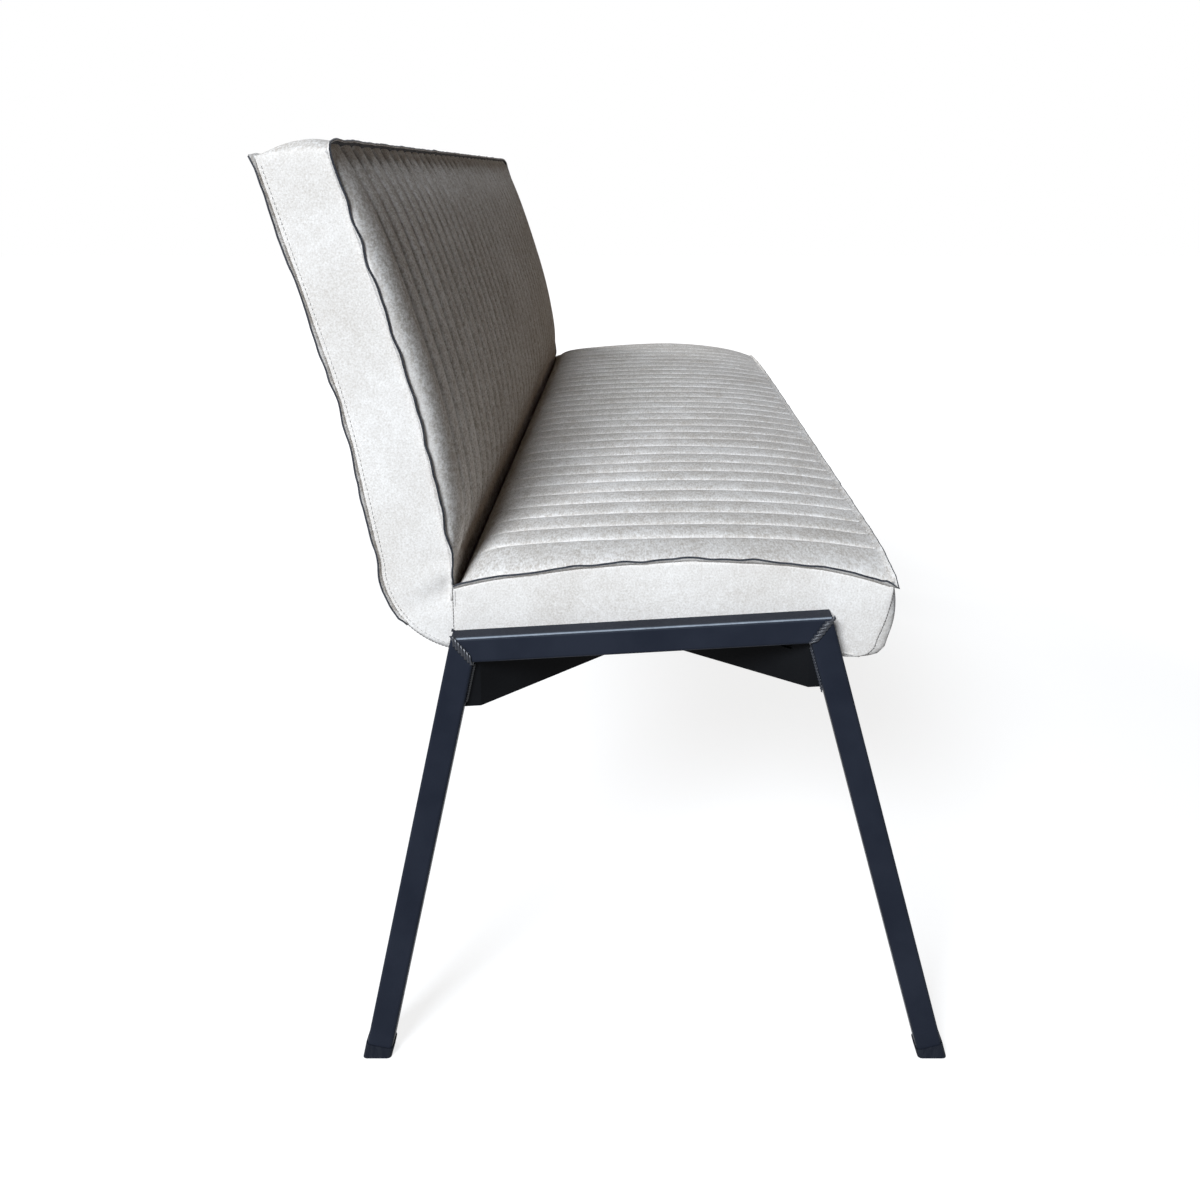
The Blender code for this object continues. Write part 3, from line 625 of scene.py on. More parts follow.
# Flanged seams

FLANGE_STEP = 0.005
PLY = 0.001
FLANGE_HEIGHT = 0.0044
FLANGE_ROOT = 0.0025
CUT_WIDTH = 0.85  # of the plies, between the rounded rims of the cut
CUT_BAND = 0.0004  # dark band under the cut
RIM_DROP = 0.0003
SLIT_DROP = 0.0008  # between the plies
SHADE_SHARE = 0.62  # of the height, up to which upright runs take painted shade on their underside
GATHER_RUN = 0.008  # from a corner, where the allowance bunches up
GATHER_TALL = 0.25
GATHER_SWAY = 0.003
GATHER_TURN = 2.3  # from one step to the next
WANDER, SWAY, FLUTTER = 0.0016, 0.0055, 0.004
TALLER, RAGGED = 0.16, 0.06
CORNER_COS = 0.6  # below which a turn of the seam is a corner
UPRIGHT = 0.5
CALM = 0.55  # part of the sway that upright runs have
END_TAPER, BUNCHED_TAPER = 0.009, 0.024
END_LEFT = 0.002
TAPER_POWER = 0.6
PRESSED = 0.85  # part of the height, gone at the right end's corners
REAR_SHARES = [CORNER_SHARE + (1 - CORNER_SHARE) * i / 60 for i in range(61)]
SHARE_STEP = 0.01  # along the rear line, for its direction
FOOT_HEIGHTS = [SEAT_EDGE_Z + rise for rise in (0.003, 0.008, 0.013, 0.018)]


def even_path(points, directions, step=FLANGE_STEP):
    """A line and the directions along it, taken again at even steps."""
    spans = [(b - a).length for a, b in zip(points, points[1:])]
    total = sum(spans)
    count = max(2, round(total / step))
    ends = [0]
    for span in spans:
        ends.append(ends[-1] + span)
    line, aims, i = [], [], 0
    for k in range(count + 1):
        run = total * k / count
        while i < len(spans) - 1 and run > ends[i + 1]:
            i += 1
        part = (run - ends[i]) / max(spans[i], 1e-9)
        line.append(points[i].lerp(points[i + 1], part))
        aims.append(directions[i].lerp(directions[i + 1], part).normalized())
    return line, aims


def flange(name, points, directions, seed, loose, bunched_ends=False, shade_upright_runs=False, pressed_run=0):
    """Raw-edged seam allowance of two plies along a line, standing out in the given directions.

    Upright runs can be made to lie calmer and to take painted shade, in the cut edge's dark colour, on the
    lower part of their underside. With a pressed run it gets low over that length towards the right end's
    corners.
    """
    line, aims = even_path(points, directions)
    cut = PLY * CUT_WIDTH
    section = ((-PLY, "root"), (-PLY, "ply"), (-PLY, "rim"), (-cut, "cut"), (0, "slit"),
               (cut, "cut"), (PLY, "rim"), (PLY, "ply"), (PLY, "middle"), (PLY, "root"))
    # face 8 of upright runs takes the dark cut colour as painted shade of the crease under the flange
    dark_faces, painted_shade_face = range(1, 7), 8
    bm = bmesh.new()
    rings = []
    last = len(line) - 1
    steps = [(after - here).normalized() for here, after in zip(line, line[1:])]
    corners = [k for k in range(1, last) if steps[k].dot(steps[k - 1]) < CORNER_COS]
    turns = [0, last] if bunched_ends else [k for k in corners if line[k].x < 0]
    pressed = [k for k in corners if line[k].x > 0] if pressed_run else []
    taper = BUNCHED_TAPER if bunched_ends else END_TAPER
    upright = [shade_upright_runs and aim.z > UPRIGHT for aim in aims]
    for k, (point, aim) in enumerate(zip(line, aims)):
        slack = CALM * loose if upright[k] else loose
        along = (line[min(k + 1, last)] - line[max(k - 1, 0)]).normalized()
        side = along.cross(aim).normalized()
        out = side.cross(along).normalized()
        run = k * FLANGE_STEP
        gather = sum(exp(-abs(k - turn) * FLANGE_STEP / GATHER_RUN) for turn in turns)
        low = max((exp(-abs(k - turn) * FLANGE_STEP / pressed_run) for turn in pressed), default=0)
        point = point + side * (WANDER * slack * ripple(run, seed, 11, 16))
        sway = slack * (SWAY * ripple(run, seed, 0, 20) + FLUTTER * ripple(run, seed, 7, 48))
        sway += GATHER_SWAY * gather * sin(GATHER_TURN * k)
        tall = FLANGE_HEIGHT * (1 + GATHER_TALL * gather + TALLER * ripple(run, seed, 3, 30)
                                + RAGGED * ripple(run, seed, 5, 110))
        tall *= min(1, (min(k, last - k) * FLANGE_STEP + END_LEFT) / taper) ** TAPER_POWER
        tall *= 1 - PRESSED * low
        heights = {"root": -FLANGE_ROOT, "middle": SHADE_SHARE * tall, "ply": tall - CUT_BAND,
                   "rim": tall - RIM_DROP, "cut": tall, "slit": tall - SLIT_DROP}
        ring = []
        for across, level in section:
            height = heights[level]
            lean = sway * max(height, 0) / FLANGE_HEIGHT
            ring.append(bm.verts.new(point + side * (across + lean) + out * height))
        rings.append(ring)
    for k, i, face in join_rings(bm, rings):
        face.material_index = int(i in dark_faces or (upright[k] and i == painted_shade_face))
    return closed_object(name, bm)


def round_seam(left, middle, right, left_aims, middle_aim, right_aims):
    """Line up one end, along the middle and down the other end, and its directions."""
    aims = left_aims + [Vector(middle_aim)] * len(middle) + right_aims[::-1]
    return left + middle + right[::-1], aims


def end_aims(count, aim, corner):
    """Directions along one end of a seam, the last of them at its corner."""
    return [Vector(aim)] * (count - 1) + [Vector(corner)]


def seat_flange():
    """Seam round the top of the seat, along both ends and the front."""
    left, right = ([seat_top(side * SEAT_END, share) for share in TOP_SHARES] for side in SIDES)
    front = [seat_top(x, 1) for x in BETWEEN_ENDS]
    count = len(TOP_SHARES)
    left_aims = end_aims(count, (-0.72, 0, 0.69), Vector((-0.58, -0.68, 0.45)).normalized())
    right_aims = end_aims(count, (0.88, 0, 0.48), Vector((0.68, -0.72, 0.14)).normalized())
    points, aims = round_seam(left, front, right, left_aims, (0, -0.7, 0.71), right_aims)
    return flange("seat_flange", points, aims, 1, 0.45, pressed_run=0.2)


def back_flange():
    """Seam round the front of the back, up both ends and along the top."""
    foot = [Vector((0, BACK_Y + back_lean(z), z)) for z in FOOT_HEIGHTS]
    edge = foot + [back_front(SEAT_END, share) for share in FRONT_SHARES]
    left, right = ([Vector((side * SEAT_END, point.y, point.z)) for point in edge] for side in SIDES)
    top = [back_front(x, 1) for x in BETWEEN_ENDS]
    left_aims, right_aims = (
        end_aims(len(edge), (side * 0.84, -0.54, 0), (side * 0.62, -0.78, 0.05)) for side in SIDES)
    points, aims = round_seam(left, top, right, left_aims, (0, -0.6, 0.8), right_aims)
    # its top run takes painted shade on the lower part of its underside
    return flange("back_flange", points, aims, 2, 0.65, shade_upright_runs=True)


def rear_line(x, share):
    """Point on the back's rear line, and the direction square to it, outwards."""
    ahead = back_rear(x, min(share + SHARE_STEP, 1))
    along = (ahead - back_rear(x, share - SHARE_STEP)).normalized()
    return back_rear(x, share), Vector((0, along.z, -along.y))


def rear_flange():
    """Seam round the rear of the back, up both ends and along the top."""
    lines, directions = [], []
    for side in SIDES:
        line = [rear_line(side * SEAT_END, share) for share in REAR_SHARES]
        lines.append([here for here, _ in line])
        directions.append([X * (side * 0.92) + outside * 0.38 for _, outside in line[:-1]])
        directions[-1].append(Vector((side * 0.6, 0.75, 0.25)))
    top = [back_rear(x, 1) for x in BETWEEN_ENDS]
    points, aims = round_seam(lines[0], top, lines[1], directions[0], (0, 0.94, 0.34), directions[1])
    return flange("rear_flange", points, aims, 3, 0.45, bunched_ends=True)


# Stitches

STITCH_PROFILE = ((0, 0.35), (0.22, 0.9), (0.5, 1), (0.78, 0.9), (1, 0.35))
STITCH_SIDES = 6
STITCH_SINK = 0.6  # part of its radius by which a stitch lies in the cloth
TOP_ROWS = 69  # steps along the row beside the rear seam
TOP_SPAN = 0.955  # of the rear line
TOP_INSET = 0.0042
TOP_PROUD = 0.001
SEAM_PROUD = 0.0004
JOINT_PROUD = 0.0002
SEAM_START = 0.06  # of the front's height
HEEL_SPANS = 8
LINE_STEPS = 40


def stitch_rows(name, rows, radius, length, pitch):
    """Stitches along rows, each of them its points and the direction in which it stands out."""
    bm = bmesh.new()
    for points, out in rows:
        line, _ = even_path(points, [out] * len(points), pitch)
        for here, after in zip(line, line[1:]):
            along = (after - here).normalized()
            side = along.cross(out).normalized()
            rings = []
            for part, size in STITCH_PROFILE:
                centre = here + along * (part * length) + out * (radius * (size - STITCH_SINK))
                ring = []
                for k in range(STITCH_SIDES):
                    turn = pi * k / (STITCH_SIDES / 2)
                    aside, up = radius * size * cos(turn), radius * size * sin(turn)
                    ring.append(bm.verts.new(centre + side * aside + out * up))
                rings.append(ring)
            join_rings(bm, rings)
    return closed_object(name, bm)


def top_stitching():
    """Stitches inside the rear seam of the back's boxing, down and round the heel."""
    rows = []
    for side in SIDES:
        points = []
        for i in range(TOP_ROWS + 1):
            share = HEEL_SHARE + TOP_SPAN * i / TOP_ROWS
            _, outside = rear_line(0, share)
            point = back_rear(side * SEAT_END, share) - outside * TOP_INSET
            points.append(point + X * (side * TOP_PROUD))
        rows.append((points, X * side))
    return stitch_rows("top_stitching", rows, 0.0004, 0.0032, 0.0046)


def plain_seams():
    """Dark thread in the plain seams, as painted shade for their gaps: front corners, between seat and back,
    and under the heel.
    """
    rows = []
    for side in SIDES:
        x = side * SEAT_END
        corner = [seat_apron(x, share) for share in [SEAM_START] + APRON_SHARES]
        corner += [seat_hem(x, share) for share in HEM_ROUND]
        corner = [point + X * (side * SEAM_PROUD) for point in corner]
        joint = [Vector((x + side * JOINT_PROUD, BACK_Y, z)) for z in (SKIRT_Z, SEAT_EDGE_Z)]
        heel = heel_line(x + side * SEAM_PROUD, HEEL_SPANS)
        rows += [(points, X * side) for points in (corner, joint, heel)]
    return stitch_rows("plain_seams", rows, 0.0004, 0.003, 0.0032)


def channel_stitching():
    """Stitches in the channels' lines, on the seat and on the back."""
    rows = []
    shares = [i / LINE_STEPS for i in range(1, LINE_STEPS)]
    for x in LINES:
        seat_line = [padded_seat(x, share, line_depth(share, SEAT_FADE)) for share in shares]
        back_line = [padded_back(x, share, line_depth(share, BACK_FADE)) for share in shares]
        rows.append((seat_line, Z))
        rows.append((back_line, Vector((0, -0.97, 0.24))))
    return stitch_rows("channel_stitching", rows, 0.0003, 0.0042, 0.0056)


# Welds

RAIL_TILT = radians(3.4)
FRONT_RAKE = radians(15.355)
REAR_RAKE = radians(12.665)
TUBE = 0.025
RIPPLE_STEPS = 6
BEAD_STEPS = 8
BEAD_END, BEAD_TAPER = 1.5, 5  # steps over which a bead gets thin at its ends
BEAD_RISE = 0.75
BEAD_SINK = 0.0002
MITRE_BEAD = (0.004, 7)  # radius and ripples
INNER_BEAD = (0.0036, 8)
BRACE_BEAD = (0.0017, 16)
MITRE_START, MITRE_STOP = 0.002, 0.001  # from the corners of a mitre
BRACE_TOP, BRACE_LOW = 0.006, 0.004  # from the rail, and from the brace's lower edge
RAIL_PART = 0.9  # of the rail's fall, at the rear leg
BRACE_SIDE = 0.002  # bead from the middle of the tube
BRACE_PROUD = 0.0008
BRACE_AIM = 0.6


def weld(bm, points, out, radius, ripples):
    """Bead of overlapping ripples along a line on a face."""
    step = (points[-1] - points[0]).length / (ripples * RIPPLE_STEPS)
    line, _ = even_path(points, [out] * len(points), step)
    last = len(line) - 1
    rings = []
    for k, centre in enumerate(line):
        along = (line[min(k + 1, last)] - line[max(k - 1, 0)]).normalized()
        side = along.cross(out).normalized()
        full = 0.62 + 0.4 * sin(pi * ((k % RIPPLE_STEPS) / RIPPLE_STEPS))
        end = min(1, (min(k, last - k) + BEAD_END) / BEAD_TAPER)
        size = radius * full * end * (1 + 0.1 * ripple(k * 0.3, radius * 100, 1, 1))
        ring = []
        for i in range(BEAD_STEPS + 1):
            turn = pi * i / BEAD_STEPS
            lag = along * (radius * (0.9 * cos(turn) - 0.3 * (1 - sin(turn))))
            up = BEAD_RISE * size * sin(turn) - BEAD_SINK
            ring.append(bm.verts.new(centre + lag + side * (size * cos(turn)) + out * up))
        rings.append(ring)
    for _, i, face in join_rings(bm, rings):
        face.smooth = i < BEAD_STEPS


def frame_welds(end, side):
    """Beads on the mitres of an end frame and where its braces meet the legs."""
    bm = bmesh.new()
    rail_low, rail_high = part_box(end + "_top_rail")
    face_x, inner_x = (rail_low.x, rail_high.x) if side < 0 else (rail_high.x, rail_low.x)
    front = Vector((face_x, rail_low.y, rail_high.z))
    rail_back = Vector((0, cos(RAIL_TILT), -sin(RAIL_TILT)))
    front_up = Vector((0, sin(FRONT_RAKE), cos(FRONT_RAKE)))
    rear_up = Vector((0, -sin(REAR_RAKE), cos(REAR_RAKE)))
    rear = front + rail_back * ((rail_high.y - rail_low.y) / rail_back.y)
    out = X * side
    through = X * (inner_x - face_x)
    for corner, leg_up, rail_away in ((front, front_up, rail_back), (rear, rear_up, -rail_back)):
        inward = (rail_away - leg_up).normalized()
        half_angle = acos(max(-1, min(1, rail_away.dot(-leg_up)))) / 2
        reach = TUBE / sin(half_angle)
        start, stop = corner + inward * MITRE_START, corner + inward * (reach - MITRE_STOP)
        weld(bm, [start, stop], out, *MITRE_BEAD)
        weld(bm, [start + through, stop + through], -out, *INNER_BEAD)
    for leg, corner, up, toward in (("front", front, front_up, 1), ("rear", rear, rear_up, -1)):
        brace_low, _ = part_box(f"{end}_{leg}_brace")
        z_high = rail_high.z - TUBE / cos(RAIL_TILT) - BRACE_TOP
        if leg == "rear":
            z_high -= (rail_high.y - rail_low.y) * tan(RAIL_TILT) * RAIL_PART
        inside = Vector((0, up.z, -up.y)) * toward
        edge = corner + inside * TUBE
        bead = []
        for z in (z_high, brace_low.z + BRACE_LOW):
            point = edge + up * ((z - edge.z) / up.z)
            point.x = rail_low.x + TUBE / 2 + side * BRACE_SIDE
            bead.append(point + inside * BRACE_PROUD)
        weld(bm, bead, (out + inside * BRACE_AIM).normalized(), *BRACE_BEAD)
    return closed_object(end + "_welds", bm)


# Materials

EVEN = (1, 1, 1)
WHITE = (1, 1, 1, 1)
# painted highlight: lighter colour and extra shine along the tubes' upper rounded edges
EDGE_HIGHLIGHT_COLOUR = (0.27, 0.31, 0.36, 1)
COAT_SHINE = 0.035
EDGE_HIGHLIGHT_SHINE = 0.6


class Nodes:
    """Node tree, with short ways to add nodes to it."""

    def __init__(self, tree):
        self.tree = tree

    def put(self, socket, value):
        if isinstance(value, bpy.types.NodeSocket):
            self.tree.links.new(value, socket)
        else:
            socket.default_value = value

    def add(self, kind, output, inputs, **settings):
        """Output of a new node, with values or other outputs as its inputs."""
        node = self.tree.nodes.new(kind)
        for key, value in settings.items():
            setattr(node, key, value)
        for key, value in inputs.items():
            self.put(node.inputs[key], value)
        return node.outputs[output]

    def maths(self, operation, a, b):
        return self.add("ShaderNodeMath", "Value", {0: a, 1: b}, operation=operation)

    def span(self, value, low, high, to_low, to_high):
        return self.add("ShaderNodeMapRange", "Result", {
            "Value": value, "From Min": low, "From Max": high, "To Min": to_low, "To Max": to_high})

    def mix(self, factor, a, b):
        return self.add("ShaderNodeMix", 2, {"Factor": factor, 6: a, 7: b}, data_type="RGBA")

    def seen(self):
        """1 for rays from the camera, and for reflected and refracted ones."""
        path = self.tree.nodes.new("ShaderNodeLightPath").outputs
        seen = path["Is Camera Ray"]
        for name in ("Is Glossy Ray", "Is Transmission Ray"):
            seen = self.maths("MAXIMUM", seen, path[name])
        return seen


class Finish(Nodes):
    """Procedural material."""

    def __init__(self, name):
        self.material = bpy.data.materials.new(name)
        self.material.use_nodes = True
        super().__init__(self.material.node_tree)
        self.shader = self.tree.nodes["Principled BSDF"]
        self.place = self.add("ShaderNodeTexCoord", "Object", {})

    def scaled(self, scale):
        return self.add("ShaderNodeMapping", "Vector", {"Vector": self.place, "Scale": scale})

    def noise(self, scale, detail=2, rough=0.5, stretch=EVEN):
        return self.add("ShaderNodeTexNoise", "Fac", {
            "Vector": self.scaled(stretch), "Scale": scale, "Detail": detail, "Roughness": rough})

    def spots(self, scale):
        return self.add("ShaderNodeTexVoronoi", "Distance", {"Vector": self.scaled(EVEN), "Scale": scale})

    def waves(self, scale, distortion, detail=2, stretch=EVEN, **settings):
        return self.add("ShaderNodeTexWave", "Fac", {
            "Vector": self.scaled(stretch), "Scale": scale, "Distortion": distortion, "Detail": detail,
        }, **settings)

    def ramp(self, value, *stops):
        node = self.tree.nodes.new("ShaderNodeValToRGB")
        elements = node.color_ramp.elements
        while len(elements) < len(stops):
            elements.new(0.5)
        for element, (position, colour) in zip(elements, stops):
            element.position = position
            element.color = (*colour, 1)
        self.put(node.inputs["Fac"], value)
        return node.outputs["Color"]

    def shades(self, pattern, dark, light):
        return self.ramp(pattern, (0.35, dark), (0.65, light))

    def rough(self, pattern, low, high):
        return self.span(pattern, 0.3, 0.7, low, high)

    def bump(self, height, strength, distance, under=None):
        below = {} if under is None else {"Normal": under}
        return self.add("ShaderNodeBump", "Normal", {
            "Height": height, "Strength": strength, "Distance": distance, **below})

    def facing(self):
        """Parts along X, Y and Z of the direction in which the surface looks."""
        parts = self.tree.nodes.new("ShaderNodeSeparateXYZ")
        self.put(parts.inputs[0], self.add("ShaderNodeNewGeometry", "Normal", {}))
        return parts.outputs

    def set(self, colour, rough, normal, **more):
        """Material with those main inputs and more of them by name."""
        for key, value in {"Base_Color": colour, "Roughness": rough, "Normal": normal, **more}.items():
            if value is not None:
                self.put(self.shader.inputs[key.replace("_", " ")], value)
        return self.material


def fabric(name, light, dark):
    """Brushed microfibre: fine nap and soft mottling, calmer on the ends."""
    f = Finish(name)
    mottle = f.noise(150, 4, 0.66)
    grain = f.noise(560, 3, 0.68, (0.35, 1, 1))
    facing = f.facing()
    end_on = f.maths("ABSOLUTE", facing["X"], 0)
    shade = None
    for pattern, on_front, on_end, elsewhere in (
            (f.noise(9, 3, 0.55), 0.26, 0.22, 0.26),
            (f.noise(30, 3, 0.6), 0.22, 0.08, 0.22),
            (mottle, 0.8, 0.14, 0.42),
            (grain, 0.95, 0.42, 0.74)):
        weight = f.span(end_on, 0.45, 0.9, f.span(facing["Y"], -0.3, -0.8, elsewhere, on_front), on_end)
        part = f.maths("MULTIPLY", f.maths("SUBTRACT", pattern, 0.5), weight)
        shade = part if shade is None else f.maths("ADD", shade, part)
    middle = tuple((a + b) / 2 for a, b in zip(light, dark))
    colour = f.ramp(f.span(shade, -0.14, 0.14, 0, 1), (0, dark), (0.5, middle), (1, light))
    fuzz = f.bump(grain, 0.34, 0.001, f.bump(mottle, 0.14, 0.003))
    return f.set(colour, f.rough(mottle, 0.78, 0.95), fuzz, Sheen_Weight=0.1, Sheen_Roughness=0.35,
                 Sheen_Tint=(0.8, 0.9, 1, 1), Specular_IOR_Level=0.04)


def cut_and_shade_cloth():
    """Dark cut edge of the seam allowances, with loose fibres; its colour also paints shade under the back
    flange's top run.
    """
    f = Finish("cut_edge_and_shade")
    grain = f.noise(1400, 3, 0.65)
    patch = f.noise(120, 2)
    shade = f.maths("ADD", f.maths("MULTIPLY", grain, 0.6), f.maths("MULTIPLY", patch, 0.4))
    colour = f.ramp(shade, (0.36, (0.016, 0.018, 0.024)), (0.64, (0.06, 0.062, 0.07)))
    return f.set(colour, f.rough(grain, 0.85, 1), f.bump(grain, 0.6, 0.0008), Sheen_Weight=0.15,
                 Specular_IOR_Level=0.15)


def thread(name, dark, light):
    """Spun sewing thread."""
    f = Finish(name)
    twist = f.waves(900, 1.5, bands_direction="DIAGONAL")
    return f.set(f.ramp(twist, (0.2, dark), (0.8, light)), f.span(twist, 0, 1, 0.55, 0.75),
                 f.bump(twist, 0.4, 0.0004), Sheen_Weight=0.2)


def powder_coat(name, dark, light, edge_shine):
    """Blue-black powder coat with fine orange peel, with a painted highlight of lighter colour and more
    shine on a tube's upper edges.
    """
    f = Finish(name)
    peel = f.noise(700, 2, 0.5)
    speck = f.noise(2600, 1)
    body = f.shades(f.noise(14, 3, 0.6), dark, light)
    facing = f.facing()
    square = f.maths("MULTIPLY", facing["X"], facing["X"])
    # painted highlight: mask of the upper rounded edges, where the light from above falls
    upper = f.maths("MULTIPLY", square, f.span(facing["Z"], 0.25, 0.75, 0, 1))
    painted_highlight = f.maths("MULTIPLY", upper, f.span(f.noise(60, 4, 0.7), 0.35, 0.65, 1.5, 2.2))
    colour = f.mix(f.maths("MULTIPLY", painted_highlight, 0.8 * edge_shine), body, EDGE_HIGHLIGHT_COLOUR)
    shine = f.span(painted_highlight, 0, 1, COAT_SHINE, COAT_SHINE + EDGE_HIGHLIGHT_SHINE * edge_shine)
    normal = f.bump(speck, 0.06, 0.0004, f.bump(peel, 0.16, 0.0006))
    return f.set(colour, f.rough(peel, 0.34, 0.46), normal, Metallic=0, Specular_IOR_Level=shine)


def weld_metal():
    """Coated weld bead, a shade rougher than the tube."""
    f = Finish("weld_coat")
    grain = f.noise(900, 3, 0.6)
    colour = f.shades(grain, (0.008, 0.01, 0.015), (0.018, 0.021, 0.03))
    return f.set(colour, f.rough(grain, 0.28, 0.42), f.bump(grain, 0.15, 0.0005), Specular_IOR_Level=0.5)


def plastic():
    """Moulded foot cap: fine spark-eroded grain, scuffed towards the floor."""
    f = Finish("cap_plastic")
    grain = f.spots(1100)
    scuff = f.noise(260, 4, 0.7, (1, 1, 0.25))
    colour = f.ramp(scuff, (0.42, (0.01, 0.012, 0.018)), (0.72, (0.019, 0.0215, 0.028)))
    return f.set(colour, f.rough(scuff, 0.48, 0.66), f.bump(grain, 0.2, 0.0004), Specular_IOR_Level=0.06)


def zinc():
    """Bright zinc plating with drawn marks."""
    f = Finish("zinc_plate")
    drawn = f.noise(500, 3, 0.6, (1, 1, 6))
    colour = f.shades(drawn, (0.42, 0.42, 0.44), (0.62, 0.62, 0.63))
    return f.set(colour, f.rough(drawn, 0.26, 0.42), f.bump(drawn, 0.1, 0.0003), Metallic=1)


def plywood():
    """Birch plywood: faint figure on the faces and plies on the edges."""
    f = Finish("birch_plywood")
    plies = f.waves(260, 0.6, 1, bands_direction="X")
    figure = f.noise(16, 4, 0.6, (1, 6, 1))
    pores = f.noise(420, 2, 0.5, (1, 6, 1))
    shade = f.maths("ADD", f.maths("MULTIPLY", figure, 0.7), f.maths("MULTIPLY", plies, 0.2))
    colour = f.ramp(shade, (0.25, (0.42, 0.29, 0.17)), (0.55, (0.58, 0.43, 0.27)), (0.8, (0.68, 0.54, 0.37)))
    return f.set(colour, f.rough(pores, 0.62, 0.8), f.bump(pores, 0.2, 0.0006))


def pine():
    """Sawn pine with growth rings along the length."""
    f = Finish("sawn_pine")
    rings = f.waves(60, 4, 3, (0.12, 1, 1), wave_type="RINGS", rings_direction="X")
    sawn = f.noise(300, 2, 0.5, (0.2, 1, 1))
    colour = f.ramp(rings, (0.1, (0.5, 0.34, 0.18)), (0.6, (0.7, 0.53, 0.33)))
    return f.set(colour, f.rough(sawn, 0.6, 0.78), f.bump(sawn, 0.25, 0.0008))


def felt():
    """Black non-woven cloth with pressed dots."""
    f = Finish("black_nonwoven")
    fibre = f.noise(800, 4, 0.7)
    normal = f.bump(f.spots(420), 0.35, 0.0006, f.bump(fibre, 0.3, 0.0006))
    colour = f.shades(fibre, (0.01, 0.01, 0.012), (0.034, 0.034, 0.038))
    return f.set(colour, f.rough(fibre, 0.85, 1), normal, Sheen_Weight=0.1)


# The bench

CLOTH = fabric("upholstery_fabric", (0.83, 0.8, 0.765), (0.5, 0.455, 0.405))
CUT_AND_SHADE = cut_and_shade_cloth()
THREAD = thread("thread", (0.6, 0.575, 0.54), (0.74, 0.715, 0.685))
# thread far darker than the cloth: painted shade standing for the gaps of the plain seams
SEAM_SHADOW_THREAD = thread("shaded_thread", (0.09, 0.082, 0.076), (0.17, 0.155, 0.145))
COAT = powder_coat("powder_coat", (0.0125, 0.0152, 0.0235), (0.0175, 0.0208, 0.0305), 1)
# darker copy of the powder coat for the braces: painted shade, since they sit in the seat's shadow
SHADED_BRACE_COAT = powder_coat("shaded_brace_coat", (0.004, 0.0042, 0.0049), (0.0062, 0.0066, 0.0075), 0)
BEAD = weld_metal()
PLASTIC = plastic()
ZINC = zinc()
PLYWOOD = plywood()
PINE = pine()
FELT = felt()
NODE_FINISHES = (
    (("rail", "leg"), COAT), (("brace",), SHADED_BRACE_COAT), (("foot_cap",), PLASTIC), (("screw",), ZINC),
    (("rib", "deck", "panel", "board"), PLYWOOD), (("batten",), PINE))


def finish_nodes():
    """Give each node of the frame that shows its finish."""
    for name, node in NODES.items():
        for words, material in NODE_FINISHES:
            if any(word in name for word in words):
                node.data.materials.clear()
                node.data.materials.append(material)


def covers():
    """Padded covers of seat and back, the plain one behind, and the cloth under the seat."""
    seat = cover("seat_upholstery", seat_row, seat_boxing, (Z * 0.6, Z))
    back = cover("back_upholstery", back_row, back_boxing, (Z * 0.7, -Y))
    swell(seat, PRESSURE, FRAMES, SEAT_RISE)
    swell(back, PRESSURE, FRAMES, BACK_RISE)
    finish_shell(seat, SHELL)
    finish_shell(back, SHELL)
    dress(seat, CLOTH, ("seat_cover", "seat_foam"))
    dress(back, CLOTH, ("back_cover", "back_foam"))
    behind = Vector((0, 0.5, 0.7))
    outer = plain_skin("outer_back", OUTER_COLUMNS, OUTER_SHARES, outer_back_point, (behind, Y))
    finish_shell(outer, OUTER_THICK, 0)
    dress(outer, CLOTH, ("outer_back_cover",))
    dust = plain_skin("dust_cloth", DUST_COLUMNS, DUST_SHARES, dust_point, (Vector(), -Z))
    finish_shell(dust, DUST_THICK, 0)
    dress(dust, FELT, ("dust_cover",))


def seams():
    """Seam allowances and stitches."""
    for made in (seat_flange(), back_flange(), rear_flange()):
        # second material: the cut edges' own dark colour, and painted shade under the back flange's top run
        dress(made, (CLOTH, CUT_AND_SHADE))
    for made in (top_stitching(), channel_stitching()):
        dress(made, THREAD)
    dress(plain_seams(), SEAM_SHADOW_THREAD)


def welds():
    """Weld beads of both end frames."""
    for end, side in (("left", -1), ("right", 1)):
        dress(frame_welds(end, side), BEAD)


# Studio

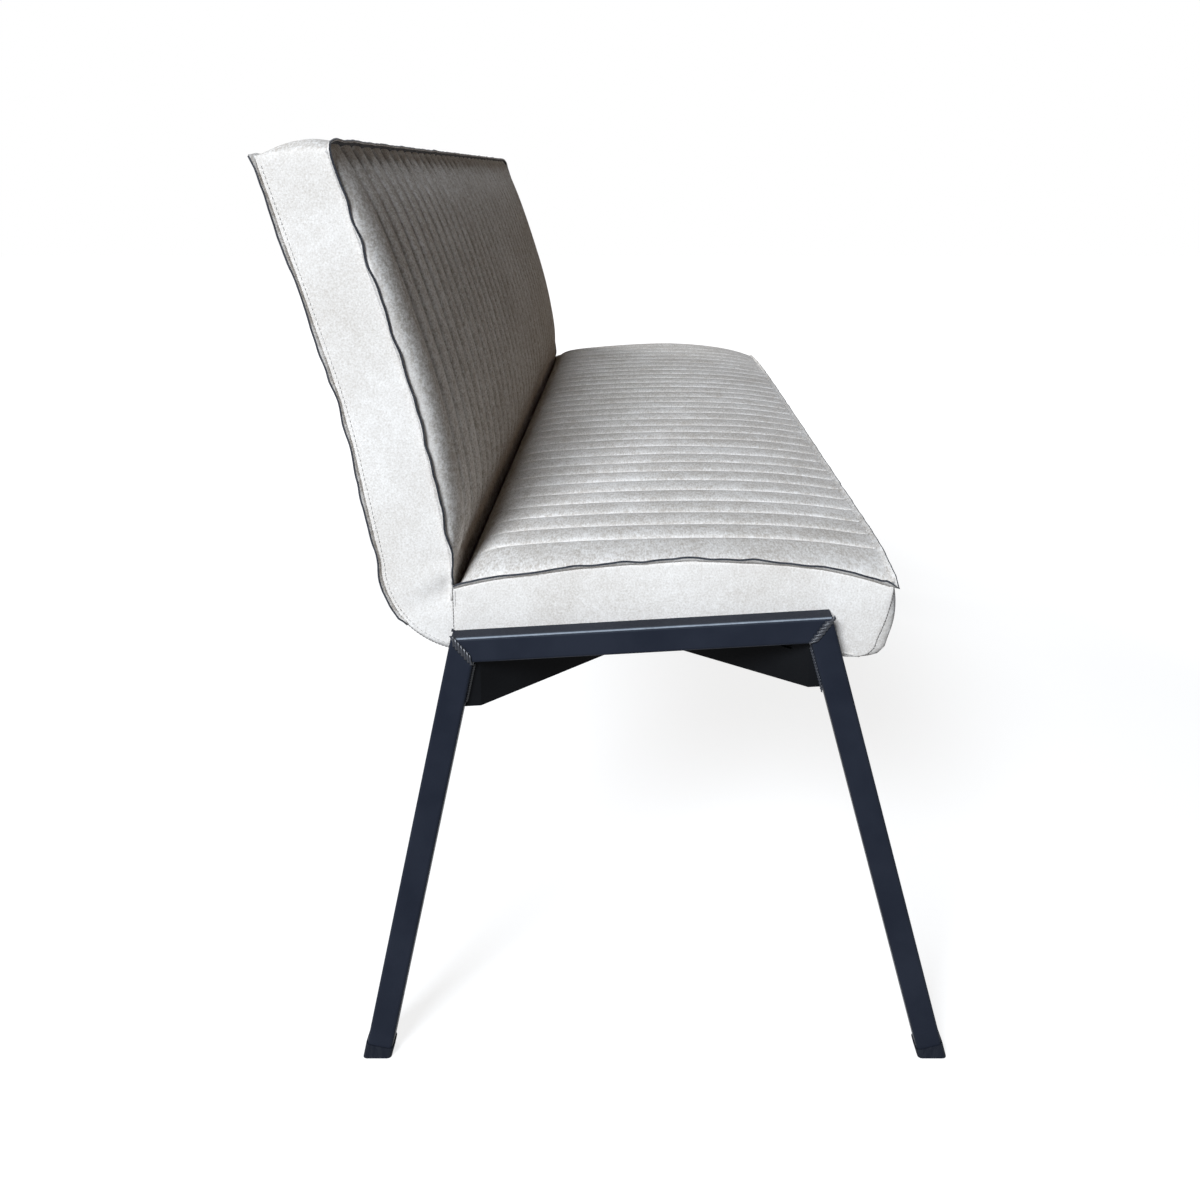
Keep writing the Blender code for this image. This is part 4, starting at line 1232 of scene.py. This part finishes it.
AMBIENT = 0.015
AMBIENT_TINT = (1, 0.76, 0.56, 1)
LAMPS = (  # name, power, place, target, size and colour
    ("key", 960, (-7, 2.15, 4.65), (-0.2, 0, 0.5), 2.6, (0.855, 0.92, 1)),
    ("front_fill", 135, (10.5, -5.3, 2.6), (0.2, 0, 0.6), 2, (1, 0.76, 0.55)),
    ("rear_fill", 330, (5, 6, 3.2), (0.2, 0, 0.5), 3, (1, 1, 1)))
CAMERA_PLACE = (-1.9203, -0.01325, 0.8518)
CAMERA_TURN = (radians(90 - 12.03), 0, radians(-90))
SENSOR, LENS = 36, 38.7
SHIFT_X, SHIFT_Y = -0.03, -0.125
FLOOR_REACH = 12
FLOOR_GREY = (0.3, 0.3, 0.3, 1)
GLOW_NEAR, GLOW_FAR = 1, 2.2  # from the middle, where the glow begins to rise and is full
GLOW_LOW = 0.8


def camera():
    lens = bpy.data.cameras.new("camera")
    lens.sensor_width = SENSOR
    lens.lens = LENS
    lens.shift_x = SHIFT_X
    lens.shift_y = SHIFT_Y
    view = new_object("camera", lens)
    view.location = CAMERA_PLACE
    view.rotation_euler = CAMERA_TURN
    bpy.context.scene.camera = view


def lamp(name, power, place, target, size, colour):
    """Round soft lamp at a place, aimed at a target."""
    light = bpy.data.lights.new(name, "AREA")
    light.shape = "DISK"
    light.size = size
    light.energy = power
    light.color = colour
    made = new_object(name, light)
    made.location = place
    made.rotation_euler = (Vector(place) - Vector(target)).to_track_quat("Z", "Y").to_euler()


def studio():
    """Soft lamps and a floor whose white ground is only seen, and lights nothing."""
    world = bpy.data.worlds.new("studio")
    bpy.context.scene.world = world
    world.use_nodes = True
    sky = Nodes(world.node_tree)
    shade = sky.tree.nodes["Background"].inputs
    seen = sky.seen()
    sky.put(shade["Color"], sky.mix(seen, AMBIENT_TINT, WHITE))
    sky.put(shade["Strength"], sky.span(seen, 0, 1, AMBIENT, 1))
    for given in LAMPS:
        lamp(*given)
    mesh = bpy.data.meshes.new("floor")
    corners = [(x * FLOOR_REACH, y * FLOOR_REACH, 0) for x, y in ((-1, -1), (1, -1), (1, 1), (-1, 1))]
    mesh.from_pydata(corners, [], [(0, 1, 2, 3)])
    floor = new_object("floor", mesh)
    f = Finish("floor")
    place = f.add("ShaderNodeNewGeometry", "Position", {})
    away = f.add("ShaderNodeVectorMath", "Value", {0: place}, operation="LENGTH")
    glow = f.span(away, GLOW_NEAR, GLOW_FAR, GLOW_LOW, 1)
    mesh.materials.append(f.set(
        FLOOR_GREY, 1, None, Specular_IOR_Level=0, Emission_Color=WHITE,
        Emission_Strength=f.maths("MULTIPLY", glow, f.seen())))
    bpy.context.scene.view_settings.view_transform = "Standard"


finish_nodes()
covers()
seams()
welds()
camera()
studio()
